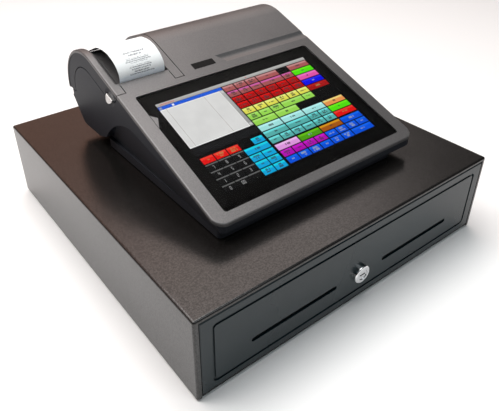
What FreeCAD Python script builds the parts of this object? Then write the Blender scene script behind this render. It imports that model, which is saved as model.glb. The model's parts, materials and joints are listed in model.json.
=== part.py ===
import FreeCAD, Part
import math
import os

# A point-of-sale terminal with a built-in receipt printer, standing on a steel cash drawer.
# Millimetres. +X is the operator's right, +Y runs to the back, +Z is up. The origin is on the
# floor, under the middle of the whole set.

# ---------------------------------------------------------------- driving sizes: cash drawer
CASE_W = 410.0
CASE_D = 420.0
CASE_H = 98.5
FOOT_H = 2.5
SHEET = 1.2
LOCK_PROUD = 4.5          # how far the lock stands out of the drawer front
TRAVEL = 290.0            # how far the drawer opens
FLANGE_W = 5.0            # front edge of each side wall
LIP_H = 3.6               # rolled front edge of the lid
COVER_GAP = 1.0           # seam round the printer cover

# ---------------------------------------------------------------- driving sizes: terminal
TERM_X = 5.8              # middle of the terminal, a little right of the drawer's middle
TERM_W = 282.4
TILT = 19.82              # slope of the screen, degrees
GLASS_Y = -55.75          # middle of the glass
GLASS_Z = 157.8
GLASS_U = 248.6
GLASS_V = 170.2
LCD_U = 216.96            # 10.1 inch, 16:10
LCD_V = 135.6
FRAME_FRONT_V = -96.7     # front edge of the frame, up the slope from the middle of the glass
FRAME_CORNER = 13.0
DRUM_V = 159.4            # where the slope runs into the round back
DRUM_R = 57.7
BACK_FLAT = 47.2          # distance of the flat lower back from the drum's axis
BACK_FLAT_ANGLE = -39.0
HOUSING_Z = 113.1         # underside of the housing
WALL = 3.2
RIM = 3.4                 # height of the top housing's edge
INSET = 0.5               # the lower housing stands this far inside the rim
PAPER_W = 57.0
PAPER_U = -99.4           # middle of the paper
COVER_LEFT_U = -141.2
COVER_RIGHT_U = -55.3
LEG_W = 11.0
LEG_FRONT_V = 95.6
TEAR_V = 111.6
COVER_OPEN = 80.0         # how far the printer cover opens, degrees

# ---------------------------------------------------------------- sizes worked out from those
HALF_W = CASE_W / 2
FRONT_Y = -(CASE_D - LOCK_PROUD) / 2
BACK_Y = FRONT_Y + CASE_D
LID_Z = FOOT_H + CASE_H
FLOOR_Z = FOOT_H + SHEET
COS = math.cos(math.radians(TILT))
SIN = math.sin(math.radians(TILT))
T_LEFT = TERM_X - TERM_W / 2
T_RIGHT = TERM_X + TERM_W / 2


def vec(x, y, z):
    return FreeCAD.Vector(x, y, z)


def xy(a, b):
    return vec(a, b, 0)


def xz(a, b):
    return vec(a, 0, b)


def yz(a, b):
    return vec(0, a, b)


NORMAL = {xy: vec(0, 0, 1), xz: vec(0, 1, 0), yz: vec(1, 0, 0)}


# ---------------------------------------------------------------- shape helpers
def box(x, y, z):
    """Block between the low and high value of each axis."""
    return Part.makeBox(x[1] - x[0], y[1] - y[0], z[1] - z[0], vec(x[0], y[0], z[0]))


def rod(radius, start, end):
    run = end - start
    return Part.makeCylinder(radius, run.Length, start, run)


def tube(outer, inner, start, end):
    reach = (end - start).normalize()
    return rod(outer, start, end).cut(rod(inner, start - reach, end + reach))


def fuse(shapes):
    """One solid out of touching ones."""
    return shapes[0].multiFuse(shapes[1:]).removeSplitter()


def corner(before, here, after, radius):
    """The start, middle and end of the arc that rounds a corner."""
    a = (before - here).normalize()
    b = (after - here).normalize()
    half = a.getAngle(b) / 2
    inward = (a + b).normalize()
    cut = radius / math.tan(half)
    middle = here + inward * (radius / math.sin(half) - radius)
    return here + a * cut, middle, here + b * cut


def outline(points, radius, place):
    """Flat face inside straight sides, each corner rounded to its radius."""
    count = len(points)
    radii = list(radius) if isinstance(radius, (list, tuple)) else [radius] * count
    spots = [place(*point) for point in points]
    arcs = []
    for i, spot in enumerate(spots):
        if radii[i] > 0:
            arcs.append(corner(spots[i - 1], spot, spots[(i + 1) % count], radii[i]))
        else:
            arcs.append((spot, None, spot))
    edges = []
    for i, (start, middle, end) in enumerate(arcs):
        if middle is not None:
            edges.append(Part.Arc(start, middle, end).toShape())
        onward = arcs[(i + 1) % count][0]
        if end.distanceToPoint(onward) > 1e-6:
            edges.append(Part.LineSegment(end, onward).toShape())
    return Part.Face(Part.Wire(edges))


def slab(points, radius, place, low, high):
    """An outline given thickness along its plane's normal."""
    face = outline(points, radius, place)
    face.translate(NORMAL[place] * low)
    return face.extrude(NORMAL[place] * (high - low))


def rectangle(a, b):
    return [(a[0], b[0]), (a[1], b[0]), (a[1], b[1]), (a[0], b[1])]


def round_edges(shape, radius, wanted):
    return shape.makeFillet(radius, [edge for edge in shape.Edges if wanted(edge.BoundBox)])


def mirror_x(shape, middle=0.0):
    return shape.mirror(vec(middle, 0, 0), vec(1, 0, 0))


def turned(shape, centre, axis, degrees):
    copy = shape.copy()
    copy.rotate(centre, axis, degrees)
    return copy


def tilted(shape):
    """Move a shape from the slope's own frame (u across, v up the slope, n outwards) to the set's."""
    copy = shape.copy()
    copy.rotate(vec(0, 0, 0), vec(1, 0, 0), TILT)
    copy.translate(vec(TERM_X, GLASS_Y, GLASS_Z))
    return copy


def on_slope(v, n):
    """(Y, Z) of a place on the slope."""
    return GLASS_Y + v * COS - n * SIN, GLASS_Z + v * SIN + n * COS


def slope_point(u, v, n):
    return vec(TERM_X + u, *on_slope(v, n))


def save(name, shapes):
    """Write one sub-part, a single solid or a group of separate ones."""
    solids = shapes if isinstance(shapes, list) else [shapes]
    for solid in solids:
        if not solid.isValid() or len(solid.Solids) != 1:
            raise ValueError("%s has a part that is not one valid solid" % name)
    shape = solids[0].Solids[0] if len(solids) == 1 else Part.makeCompound([s.Solids[0] for s in solids])
    shape.exportStep(os.path.join("parts", name + ".step"))


# ---------------------------------------------------------------- cash drawer: the case
MOUTH_HALF = HALF_W - FLANGE_W
MOUTH_TOP = LID_Z - LIP_H
BEND = 2.5


def case_cover():
    """Lid and both sides, bent from one sheet, with a rolled lip above the drawer front."""
    skin = box((-HALF_W, HALF_W), (FRONT_Y, BACK_Y), (FOOT_H, LID_Z))
    skin = round_edges(skin, BEND, lambda b: (b.ZMin > LID_Z - 0.1 and b.YMin < BACK_Y - 0.1)
                       or (b.YMax < FRONT_Y + 0.1 and b.ZLength > CASE_H - 1))
    hollow = box((-HALF_W + SHEET, HALF_W - SHEET), (FRONT_Y + SHEET, BACK_Y + 1), (0, LID_Z - SHEET))
    mouth = box((-MOUTH_HALF, MOUTH_HALF), (FRONT_Y - 1, FRONT_Y + SHEET + 1), (0, MOUTH_TOP))
    return skin.cut(hollow).cut(mouth)


SOCKET_X = 120.0          # drawer release socket in the case's back
SOCKET_Z = 50.0


def case_base():
    """Floor and back wall, which close the cover from below and behind."""
    inner = HALF_W - SHEET
    floor = box((-inner, inner), (FRONT_Y + SHEET, BACK_Y), (FOOT_H, FLOOR_Z))
    back = box((-inner, inner), (BACK_Y - SHEET, BACK_Y), (FOOT_H, LID_Z - SHEET))
    window = box((SOCKET_X - 8, SOCKET_X + 8), (BACK_Y - 5, BACK_Y + 5), (SOCKET_Z - 8, SOCKET_Z + 8))
    return fuse([floor, back]).cut(window)


def drawer_socket():
    """Telephone-style socket that takes the release signal."""
    block = box((SOCKET_X - 7.8, SOCKET_X + 7.8), (BACK_Y - 18, BACK_Y - 0.2), (SOCKET_Z - 7.8, SOCKET_Z + 7.8))
    cavity = box((SOCKET_X - 5.5, SOCKET_X + 5.5), (BACK_Y - 14, BACK_Y + 1), (SOCKET_Z - 4.5, SOCKET_Z + 4.5))
    return block.cut(cavity)


def case_feet():
    places = [(x, y) for x in (-178, 178) for y in (FRONT_Y + 25, BACK_Y - 25)]
    return [Part.makeCone(9.0, 10.0, FOOT_H, vec(x, y, 0)) for x, y in places]


RAIL_X = HALF_W - SHEET - 0.5     # outer face of each case rail
RAIL_T = 1.5
RAIL_W = 12.0
RAIL_Z = (30.0, 56.0)
ROLLER_R = 8.0
ROLLER_Z = RAIL_Z[0] + RAIL_T + 0.5 + ROLLER_R
ROLLER_X = (RAIL_X - 10.0, RAIL_X - 3.0)
CASE_ROLLER_Y = FRONT_Y + 26.0
DRAWER_ROLLER_Y = 150.0
AXLE_R = 3.0
RUNNING = 0.05
TRAY_X = 186.5            # outer face of the drawer tray's side


def case_rail(side):
    """C-shaped rail on the case's side, with the fixed axle of its front roller."""
    run = (FRONT_Y + 12.0, BACK_Y - 16.0)
    channel = box((RAIL_X - RAIL_W, RAIL_X), run, RAIL_Z)
    room = box((RAIL_X - RAIL_W - 1, RAIL_X - RAIL_T), (run[0] - 1, run[1] + 1), (RAIL_Z[0] + RAIL_T, RAIL_Z[1] - RAIL_T))
    axle = rod(AXLE_R, vec(RAIL_X - 1, CASE_ROLLER_Y, ROLLER_Z), vec(ROLLER_X[0] - 0.6, CASE_ROLLER_Y, ROLLER_Z))
    pads = [box((RAIL_X - 0.2, RAIL_X + 0.5), (y, y + 20), (36, 50)) for y in (-150, 130)]
    rail = fuse([channel.cut(room), axle] + pads)
    return rail if side > 0 else mirror_x(rail)


def drawer_rail(side):
    """Flanged rail on the drawer's side, with the fixed axle of its rear roller."""
    run = (FRONT_Y + 14.0, 163.0)
    shelf_z = ROLLER_Z + ROLLER_R + 0.4
    web = box((TRAY_X, TRAY_X + RAIL_T), run, (35.0, shelf_z + RAIL_T))
    shelf = box((TRAY_X, MOUTH_HALF - 0.8), run, (shelf_z, shelf_z + RAIL_T))
    axle = rod(AXLE_R, vec(TRAY_X + 0.5, DRAWER_ROLLER_Y, ROLLER_Z), vec(ROLLER_X[1] + 0.6, DRAWER_ROLLER_Y, ROLLER_Z))
    rail = fuse([web, shelf, axle])
    return rail if side > 0 else mirror_x(rail)


def roller(side, y):
    wheel = tube(ROLLER_R, AXLE_R + RUNNING, vec(ROLLER_X[0], y, ROLLER_Z), vec(ROLLER_X[1], y, ROLLER_Z))
    wheel = wheel.makeChamfer(0.6, [e for e in wheel.Edges if e.BoundBox.YLength > 2 * ROLLER_R - 0.1
                                    and e.BoundBox.XLength < 0.1])
    return wheel if side > 0 else mirror_x(wheel)


# ---------------------------------------------------------------- cash drawer: the sliding drawer
FASCIA_HALF = MOUTH_HALF - 0.7
FASCIA_Z = (FOOT_H + 3.0, MOUTH_TOP - 1.4)
FASCIA_T = 2.0
FASCIA_DEEP = 3.2
LOCK_Z = 38.5
MEDIA_Z = 37.7            # height of the media slots
MEDIA_SLOTS = ((-143.8, -33.8), (35.0, 145.0))
MEDIA_H = 5.2
GROOVE_HALF = 187.4
GROOVE_Z = (13.3, 87.0)
GROOVE_W = 3.0
GROOVE_DEEP = 1.4
LOCK_R = 9.4
BEZEL_R = 10.6
PLUG_R = 6.4


def drawer_front():
    """Painted front pan with a pressed groove, two media slots and the lock's hole."""
    pan = box((-FASCIA_HALF, FASCIA_HALF), (FRONT_Y, FRONT_Y + FASCIA_DEEP), FASCIA_Z)
    pan = round_edges(pan, 1.5, lambda b: b.YMax < FRONT_Y + 0.1)
    hollow = box((-FASCIA_HALF + SHEET, FASCIA_HALF - SHEET), (FRONT_Y + FASCIA_T, FRONT_Y + 20),
                 (FASCIA_Z[0] + SHEET, FASCIA_Z[1] - SHEET))
    groove = slab(rectangle((-GROOVE_HALF, GROOVE_HALF), GROOVE_Z), 6.0, xz, FRONT_Y - 1, FRONT_Y + GROOVE_DEEP)
    island = slab(rectangle((-GROOVE_HALF + GROOVE_W, GROOVE_HALF - GROOVE_W),
                            (GROOVE_Z[0] + GROOVE_W, GROOVE_Z[1] - GROOVE_W)),
                  6.0 - GROOVE_W, xz, FRONT_Y - 2, FRONT_Y + 5)
    front = pan.cut(hollow).cut(groove.cut(island))
    for slot in MEDIA_SLOTS:
        band = (MEDIA_Z - MEDIA_H / 2, MEDIA_Z + MEDIA_H / 2)
        front = front.cut(slab(rectangle(slot, band), MEDIA_H / 2 - 0.01, xz, FRONT_Y - 1, FRONT_Y + 5))
    return front.cut(rod(LOCK_R + 0.1, vec(0, FRONT_Y - 1, LOCK_Z), vec(0, FRONT_Y + 5, LOCK_Z)))


TRAY_Z = (7.0, 78.0)
TRAY_FRONT_Y = FRONT_Y + 32.0
TRAY_BACK_Y = 175.0
CAM_SLOT = (FRONT_Y + 20.5, FRONT_Y + 27.5)
STRIKE_Z = (12.0, 19.0)


def drawer_tray():
    """Steel box with a narrow bay behind the front for posted slips, and the latch's catch behind."""
    skin = box((-TRAY_X, TRAY_X), (FRONT_Y + FASCIA_T, TRAY_BACK_Y), TRAY_Z)
    inner = (-TRAY_X + 1, TRAY_X - 1)
    well = box(inner, (TRAY_FRONT_Y + 1, TRAY_BACK_Y - 1), (TRAY_Z[0] + 1, TRAY_Z[1] + 1))
    bay = box(inner, (FRONT_Y, TRAY_FRONT_Y), (TRAY_Z[0] + 1, TRAY_Z[1] + 1))
    cam_slot = box((-7, 15.5), CAM_SLOT, (0, 20))
    stem = box((-3, 3), (TRAY_BACK_Y, 188), STRIKE_Z)
    head = box((-8, 8), (188, 192), STRIKE_Z)
    return [skin.cut(well).cut(bay).cut(cam_slot), stem, head]


TILL_X = 184.5
TILL_Y = (TRAY_FRONT_Y + 1.75, TRAY_BACK_Y - 2.0)
TILL_Z = (8.3, 66.0)
TILL_WALL = 2.5
NOTE_Y = -14.0            # front of the note bays
COIN_Y = -93.0            # wall between the two rows of coin cups
NOTE_BAYS = 5
COIN_BAYS = 4
CLIP_ROD_Y = 160.0
CLIP_ROD_Z = 60.0
CLIP_ROD_R = 2.0
COIN_Z = 48.0             # top of the coin cups' inner walls


def bay_edges(count):
    """The divider positions between equal bays, and the bays' own middles."""
    inner = 2 * (TILL_X - TILL_WALL)
    pitch = inner / count
    walls = [-inner / 2 + pitch * (i + 1) for i in range(count - 1)]
    middles = [-inner / 2 + pitch * (i + 0.5) for i in range(count)]
    return walls, middles


def till_tray():
    """Plastic insert: floor, outer walls and the two walls across it."""
    skin = box((-TILL_X, TILL_X), TILL_Y, TILL_Z)
    well = box((-TILL_X + TILL_WALL, TILL_X - TILL_WALL), (TILL_Y[0] + TILL_WALL, TILL_Y[1] - TILL_WALL),
               (TILL_Z[0] + TILL_WALL, TILL_Z[1] + 1))
    across = [box((-TILL_X + 1, TILL_X - 1), (y - 1, y + 1), (TILL_Z[0] + 1, top))
              for y, top in ((NOTE_Y, TILL_Z[1] - 4), (COIN_Y, COIN_Z))]
    holes = rod(CLIP_ROD_R + 0.02, vec(-TILL_X - 1, CLIP_ROD_Y, CLIP_ROD_Z), vec(TILL_X + 1, CLIP_ROD_Y, CLIP_ROD_Z))
    return fuse([skin.cut(well)] + across).cut(holes)


def till_dividers():
    """Thin walls between coin cups, and between note bays, where the clips' rod runs through them."""
    rows = ((TILL_Y[0] + TILL_WALL, COIN_Y - 1), (COIN_Y + 1, NOTE_Y - 1))
    floor = TILL_Z[0] + TILL_WALL
    coins = [box((x - 1, x + 1), row, (floor, COIN_Z)) for x in bay_edges(COIN_BAYS)[0] for row in rows]
    hole = rod(CLIP_ROD_R + 0.1, vec(-TILL_X, CLIP_ROD_Y, CLIP_ROD_Z), vec(TILL_X, CLIP_ROD_Y, CLIP_ROD_Z))
    notes = [box((x - 1, x + 1), (NOTE_Y + 1, TILL_Y[1] - TILL_WALL), (floor, TILL_Z[1])).cut(hole)
             for x in bay_edges(NOTE_BAYS)[0]]
    return coins + notes


def clip_rod():
    return rod(CLIP_ROD_R, vec(-TILL_X, CLIP_ROD_Y, CLIP_ROD_Z), vec(TILL_X, CLIP_ROD_Y, CLIP_ROD_Z))


CLIP_LENGTH = 100.0
CLIP_DROOP = 24.7


def note_clip(x):
    """Hold-down: a hub on the rod, a slim arm and a turned-up paddle, drooping to the bay's floor."""
    y = CLIP_ROD_Y
    z = CLIP_ROD_Z
    hub = rod(4.5, vec(x - 10, y, z), vec(x + 10, y, z))
    arm = box((x - 5, x + 5), (y - CLIP_LENGTH + 20, y), (z - 1.2, z + 1.2))
    paddle = slab(rectangle((x - 20, x + 20), (y - CLIP_LENGTH - 14, y - CLIP_LENGTH + 24)), 6.0, xy, z - 1.2, z + 1.2)
    clip = fuse([hub, arm, paddle])
    clip = clip.cut(rod(CLIP_ROD_R + RUNNING, vec(x - 11, y, z), vec(x + 11, y, z)))
    return turned(clip, vec(x, y, z), vec(1, 0, 0), CLIP_DROOP)


LOCK_FACE_Y = FRONT_Y - LOCK_PROUD
CAM_Y = (FRONT_Y + 23.0, FRONT_Y + 25.0)
CAM_REACH = 33.0


def lock_body():
    """Chrome bezel and barrel round the turning plug."""
    bezel = rod(BEZEL_R, vec(0, LOCK_FACE_Y, LOCK_Z), vec(0, FRONT_Y, LOCK_Z))
    bezel = round_edges(bezel, 1.4, lambda b: b.YMax < LOCK_FACE_Y + 0.1)
    barrel = rod(LOCK_R, vec(0, FRONT_Y, LOCK_Z), vec(0, FRONT_Y + 20, LOCK_Z))
    nut = rod(BEZEL_R + 2, vec(0, FRONT_Y + FASCIA_T, LOCK_Z), vec(0, FRONT_Y + 5, LOCK_Z))
    bore = rod(PLUG_R + RUNNING, vec(0, LOCK_FACE_Y - 1, LOCK_Z), vec(0, FRONT_Y + 21, LOCK_Z))
    return fuse([bezel, barrel, nut]).cut(bore)


def lock_plug():
    """Plug with its keyhole, and the cam behind it, both lying level when unlocked."""
    face = LOCK_FACE_Y + 0.6
    plug = rod(PLUG_R, vec(0, face, LOCK_Z), vec(0, CAM_Y[0], LOCK_Z))
    keyway = box((-3.8, 3.8), (face - 1, face + 6), (LOCK_Z - 0.9, LOCK_Z + 0.9))
    cam = slab(rectangle((-6, CAM_REACH), (LOCK_Z - 5, LOCK_Z + 5)), 4.9, xz, CAM_Y[0], CAM_Y[1])
    return fuse([plug, cam]).cut(keyway)


def lock_keeper():
    """Low stop on the case's floor, under the lock."""
    return box((-8, 8), (FRONT_Y + 17, FRONT_Y + 19), (FLOOR_Z, TRAY_Z[0] - 0.4))


# ---------------------------------------------------------------- cash drawer: latch and spring
LEVER_Z = (14.0, 17.0)
PIVOT_X = 21.0
PIVOT_Y = 200.0
PLUNGER_Y = 190.0
PLUNGER_R = 3.0


def latch_bracket():
    """Plate on the case's floor that carries the lever's pin."""
    plate = box((8, 66), (177, 208), (FLOOR_Z, FLOOR_Z + 1.5))
    pin = rod(2.0, vec(PIVOT_X, PIVOT_Y, FLOOR_Z + 1), vec(PIVOT_X, PIVOT_Y, LEVER_Z[1] + 2))
    collar = rod(4.0, vec(PIVOT_X, PIVOT_Y, FLOOR_Z + 1), vec(PIVOT_X, PIVOT_Y, LEVER_Z[0] - 0.3))
    return fuse([plate, pin, collar])


def latch_lever():
    """Hooked lever, drawn back so that the drawer is free."""
    arm = box((PIVOT_X - 3, PIVOT_X + 3), (177, PIVOT_Y), LEVER_Z)
    tip = box((10, PIVOT_X), (177, 181), LEVER_Z)
    hub = rod(4.5, vec(PIVOT_X, PIVOT_Y, LEVER_Z[0]), vec(PIVOT_X, PIVOT_Y, LEVER_Z[1]))
    bore = rod(2.0 + RUNNING, vec(PIVOT_X, PIVOT_Y, LEVER_Z[0] - 1), vec(PIVOT_X, PIVOT_Y, LEVER_Z[1] + 1))
    return fuse([arm, tip, hub]).cut(bore)


def solenoid():
    middle = (LEVER_Z[0] + LEVER_Z[1]) / 2
    frame = box((33, 63), (PLUNGER_Y - 9, PLUNGER_Y + 9), (FLOOR_Z + 1.5, middle + 10))
    bore = rod(PLUNGER_R + RUNNING, vec(32, PLUNGER_Y, middle), vec(55, PLUNGER_Y, middle))
    return frame.cut(bore)


def solenoid_plunger():
    middle = (LEVER_Z[0] + LEVER_Z[1]) / 2
    return rod(PLUNGER_R, vec(PIVOT_X + 4, PLUNGER_Y, middle), vec(50, PLUNGER_Y, middle))


SPRING_X = -60.0
SPRING_Z = 40.0
SPRING_R = 8.0
SPRING_WIRE = 0.9
SPRING_TURNS = 7


def eject_spring():
    """Compression spring between the case's back wall and the closed drawer."""
    length = BACK_Y - SHEET - TRAY_BACK_Y - 2 * SPRING_WIRE - 0.8
    coil = Part.makeHelix(length / SPRING_TURNS, length, SPRING_R)
    ring = Part.Wire(Part.makeCircle(SPRING_WIRE, vec(SPRING_R, 0, 0), vec(0, 1, 0)))
    wire = Part.Wire(coil.Edges).makePipeShell([ring], True, True)
    wire.rotate(vec(0, 0, 0), vec(1, 0, 0), -90)
    wire.translate(vec(SPRING_X, TRAY_BACK_Y + SPRING_WIRE + 0.5, SPRING_Z))
    return wire


def spring_peg():
    """Peg inside the spring, on the case's back wall."""
    wall = BACK_Y - SHEET
    return rod(SPRING_R - SPRING_WIRE - 0.6, vec(SPRING_X, wall - 16, SPRING_Z), vec(SPRING_X, wall, SPRING_Z))


# ---------------------------------------------------------------- terminal: outer form
AXIS_Y, AXIS_Z = on_slope(DRUM_V, -DRUM_R)      # the drum's axis
FRAME_FRONT_Y = on_slope(FRAME_FRONT_V, 0)[0]
HINGE_Y = AXIS_Y + DRUM_R - 4.3                 # the printer cover's hinge
HINGE_Z = 149.0
SPLIT_Z = 152.8                                 # where the round back is parted
CHEEK_FRONT_Y = on_slope(-82.0, 0)[0]


def ray_end(radius, degrees):
    """(Y, Z) at a distance and a direction from the drum's axis."""
    return AXIS_Y + radius * math.cos(math.radians(degrees)), AXIS_Z + radius * math.sin(math.radians(degrees))


def slope_z(y, n):
    """Height at Y of the line that runs n outside the slope."""
    y0, z0 = on_slope(0, n)
    return z0 + (y - y0) * SIN / COS


def side_profile(inset):
    """The terminal's side view, drawn a wall's thickness further in: slope, round back, flat, base."""
    radius = DRUM_R - inset
    base = HOUSING_Z + inset
    front = FRAME_FRONT_Y + inset
    flat = BACK_FLAT - inset
    turn = math.degrees(math.acos(flat / radius))
    last = BACK_FLAT_ANGLE + turn
    first = 90 + TILT
    normal = math.radians(BACK_FLAT_ANGLE)
    heel_y = AXIS_Y + (flat - (base - AXIS_Z) * math.sin(normal)) / math.cos(normal)
    heel = yz(heel_y, base)
    toe = yz(front, base)
    brow = yz(front, slope_z(front, -inset))
    top = yz(*ray_end(radius, first))
    middle = yz(*ray_end(radius, (first + last) / 2))
    tail = yz(*ray_end(radius, last))
    start, arc_middle, end = corner(tail, heel, toe, 12.0 - inset)
    return Part.Face(Part.Wire([
        Part.LineSegment(toe, brow).toShape(),
        Part.LineSegment(brow, top).toShape(),
        Part.Arc(top, middle, tail).toShape(),
        Part.LineSegment(tail, start).toShape(),
        Part.Arc(start, arc_middle, end).toShape(),
        Part.LineSegment(end, toe).toShape(),
    ]))


def form(inset, side_inset, corner_radius):
    """Solid of the side view between the ends, its two front corners rounded."""
    face = side_profile(inset)
    face.translate(vec(T_LEFT + side_inset, 0, 0))
    solid = face.extrude(vec(TERM_W - 2 * side_inset, 0, 0))
    front = FRAME_FRONT_Y + inset
    return round_edges(solid, corner_radius, lambda b: b.YMax < front + 0.1 and b.XLength < 0.1)


# The lower half of each end leans inwards below a crease, which ends behind in an arch.
CREASE_Y = -3.15
CREASE_Z = 158.5
CREASE_RISE = 0.205
ARCH_END = (77.0, 120.0)
ARCH_MIDDLE = (52.5, 144.0)
SCOOP_RUN = (-150.0, 100.0)
SCOOP_DEEP = (6.0, 12.0)


def crease_z(y):
    return CREASE_Z + (y - CREASE_Y) * CREASE_RISE


def scoop(grow):
    """What is taken off the left end under its crease and arch, or the same grown by a wall."""
    sections = []
    for y, deep in zip(SCOOP_RUN, SCOOP_DEEP):
        z = crease_z(y) + grow
        sections.append(Part.makePolygon([vec(T_LEFT - 5 + x, y, h) for x, h in (
            (0, z), (5 + grow, z), (5 + grow + deep, HOUSING_Z), (5 + grow + deep, 90), (0, 90), (0, z))]))
    lean = Part.makeLoft(sections, True, True)
    arch_start = yz(CREASE_Y + 3, crease_z(CREASE_Y + 3) + grow)
    arch_middle = yz(ARCH_MIDDLE[0] + grow, ARCH_MIDDLE[1] + grow)
    arch_end = yz(ARCH_END[0] + grow, ARCH_END[1] + grow)
    front = yz(SCOOP_RUN[0], crease_z(SCOOP_RUN[0]) + grow)
    heel = yz(98.0 + grow, HOUSING_Z - 0.5)
    low_back = yz(98.0 + grow, 95)
    low_front = yz(SCOOP_RUN[0], 95)
    outline_wire = Part.Wire([
        Part.LineSegment(front, arch_start).toShape(),
        Part.Arc(arch_start, arch_middle, arch_end).toShape(),
        Part.LineSegment(arch_end, heel).toShape(),
        Part.LineSegment(heel, low_back).toShape(),
        Part.LineSegment(low_back, low_front).toShape(),
        Part.LineSegment(low_front, front).toShape(),
    ])
    face = Part.Face(outline_wire)
    face.translate(vec(T_LEFT - 10, 0, 0))
    return lean.common(face.extrude(vec(40, 0, 0)))


def both_ends(shape):
    return [shape, mirror_x(shape, TERM_X)]


def under_rim():
    """Everything below the top housing's edge."""
    radius = DRUM_R - RIM
    first = 90 + TILT
    last = math.degrees(math.asin((SPLIT_Z - AXIS_Z) / radius))
    start = yz(-200, slope_z(-200, -RIM))
    top = yz(*ray_end(radius, first))
    middle = yz(*ray_end(radius, (first + last) / 2))
    tail = yz(*ray_end(radius, last))
    face = Part.Face(Part.Wire([
        Part.LineSegment(start, top).toShape(),
        Part.Arc(top, middle, tail).toShape(),
        Part.LineSegment(tail, yz(250, SPLIT_Z)).toShape(),
        Part.LineSegment(yz(250, SPLIT_Z), yz(250, 60)).toShape(),
        Part.LineSegment(yz(250, 60), yz(-200, 60)).toShape(),
        Part.LineSegment(yz(-200, 60), start).toShape(),
    ]))
    face.translate(vec(-250, 0, 0))
    return face.extrude(vec(500, 0, 0))


def top_shell():
    """Slope, rim and round back as one skin, before the printer cover is parted from it."""
    skin = form(0, 0, FRAME_CORNER)
    rim = [e for e in skin.Edges if e.BoundBox.ZMin > HOUSING_Z + 5 and e.BoundBox.YMin < AXIS_Y + 40
           and (e.BoundBox.XMax < T_LEFT + FRAME_CORNER + 0.1 or e.BoundBox.XMin > T_RIGHT - FRAME_CORNER - 0.1
                or e.BoundBox.YMax < FRAME_FRONT_Y + 0.1)
           and (abs(e.CenterOfMass.z - slope_z(e.CenterOfMass.y, 0)) < 4.0 or e.CenterOfMass.y > AXIS_Y - 30)]
    skin = skin.makeFillet(1.6, rim)
    room = form(WALL, WALL + 0.2, FRAME_CORNER - WALL)
    return skin.cut(room).cut(under_rim())


def lower_shell():
    """Front wall, end cheeks, base and lower back as one skin, before the ends are parted from it."""
    skin = form(INSET, INSET, FRAME_CORNER - INSET)
    room = form(WALL, WALL + 0.2, FRAME_CORNER - WALL)
    for cut, wall in zip(both_ends(scoop(0)), both_ends(scoop(WALL))):
        skin = skin.cut(cut)
        room = room.cut(wall)
    return skin.cut(room).common(under_rim())


def slope_block(u, v, n):
    return tilted(box(u, v, n))


# ---------------------------------------------------------------- terminal: top housing and trim
LCD_SHIFT = (-0.96, 0.6)
GROOVE_LOW_V = 97.0
GROOVE_HIGH_V = 112.0
GROOVE_FLOOR = (107.0, -2.6)      # lowest line of the valley
BADGE_U = (-37.1, -7.0)
BADGE_V = (99.6, 109.0)
FAR = 260.0


def cover_zone(grow):
    """The part of the top that lifts with the printer cover, with the fixed tongue left out."""
    legs = slope_block((COVER_LEFT_U - 20, COVER_RIGHT_U + grow), (LEG_FRONT_V - grow, FAR), (-150, 20))
    inner = (COVER_LEFT_U + LEG_W + grow, COVER_RIGHT_U - LEG_W - grow)
    tongue = slope_block(inner, (0, TEAR_V + 0.3 - grow), (-40, 21))
    return legs.cut(tongue)


def top_groove():
    """Shallow valley across the right half, steeper behind than in front, with a slanted left end."""
    section = [(GROOVE_LOW_V, 0.05), GROOVE_FLOOR, (GROOVE_HIGH_V, 0), (GROOVE_HIGH_V, 5), (GROOVE_LOW_V, 5)]
    face = outline(section, [0, 7, 0, 0, 0], yz)
    wedge = face.extrude(vec(200, 0, 0))
    keep = slab([(-1.0, GROOVE_HIGH_V + 1), (9.0, GROOVE_LOW_V - 1), (180, GROOVE_LOW_V - 1), (180, GROOVE_HIGH_V + 1)],
                0, xy, -10, 10)
    return tilted(wedge.common(keep))


def top_housing(shell):
    """Frame round the glass, the tongue before the paper slot, and the round back's right part."""
    window = tilted(slab(rectangle((-GLASS_U / 2 - 0.3, GLASS_U / 2 + 0.3), (-GLASS_V / 2 - 0.3, GLASS_V / 2 + 0.3)),
                         3.3, xy, -20, 10))
    badge_seat = slope_block((BADGE_U[0] - 0.2, BADGE_U[1] + 0.2), (BADGE_V[0] - 0.2, BADGE_V[1] + 0.2), (-0.7, 5))
    tear_seat = slope_block((-129.9, -66.6), (108.4, 120), (-1.3, 5))
    housing = shell.cut(cover_zone(COVER_GAP)).cut(window).cut(badge_seat).cut(tear_seat).cut(top_groove())
    return housing


def badge_plate():
    plate = slab(rectangle(BADGE_U, BADGE_V), 0.8, xy, -0.7, 0.3)
    return tilted(plate)


def bezel_tab():
    """Small wedge-shaped pointer that reaches from the frame over the glass's left edge."""
    edge = -GLASS_U / 2 - 0.2
    tab = slab([(edge, 34.5), (-118.1, 47.6), (edge, 53.8)], 0, xy, -0.1, 0.7)
    return tilted(tab)


def tear_bar():
    """Thin strip with a row of teeth at the paper slot."""
    left = -129.7
    right = -66.8
    count = 31
    pitch = (right - left) / count
    points = [(left, 108.5)]
    for i in range(count):
        points.append((left + pitch * i, TEAR_V - 0.8))
        points.append((left + pitch * (i + 0.5), TEAR_V))
    points.append((right, TEAR_V - 0.8))
    points.append((right, 108.5))
    return tilted(slab(points, 0, xy, -1.2, 0.0))


# ---------------------------------------------------------------- terminal: display
GLASS_N = (-2.0, -0.15)
PANEL_N = (-7.6, -2.6)


def touch_glass():
    pane = slab(rectangle((-GLASS_U / 2, GLASS_U / 2), (-GLASS_V / 2, GLASS_V / 2)), 3.0, xy, GLASS_N[0], GLASS_N[1])
    return tilted(pane)


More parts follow.
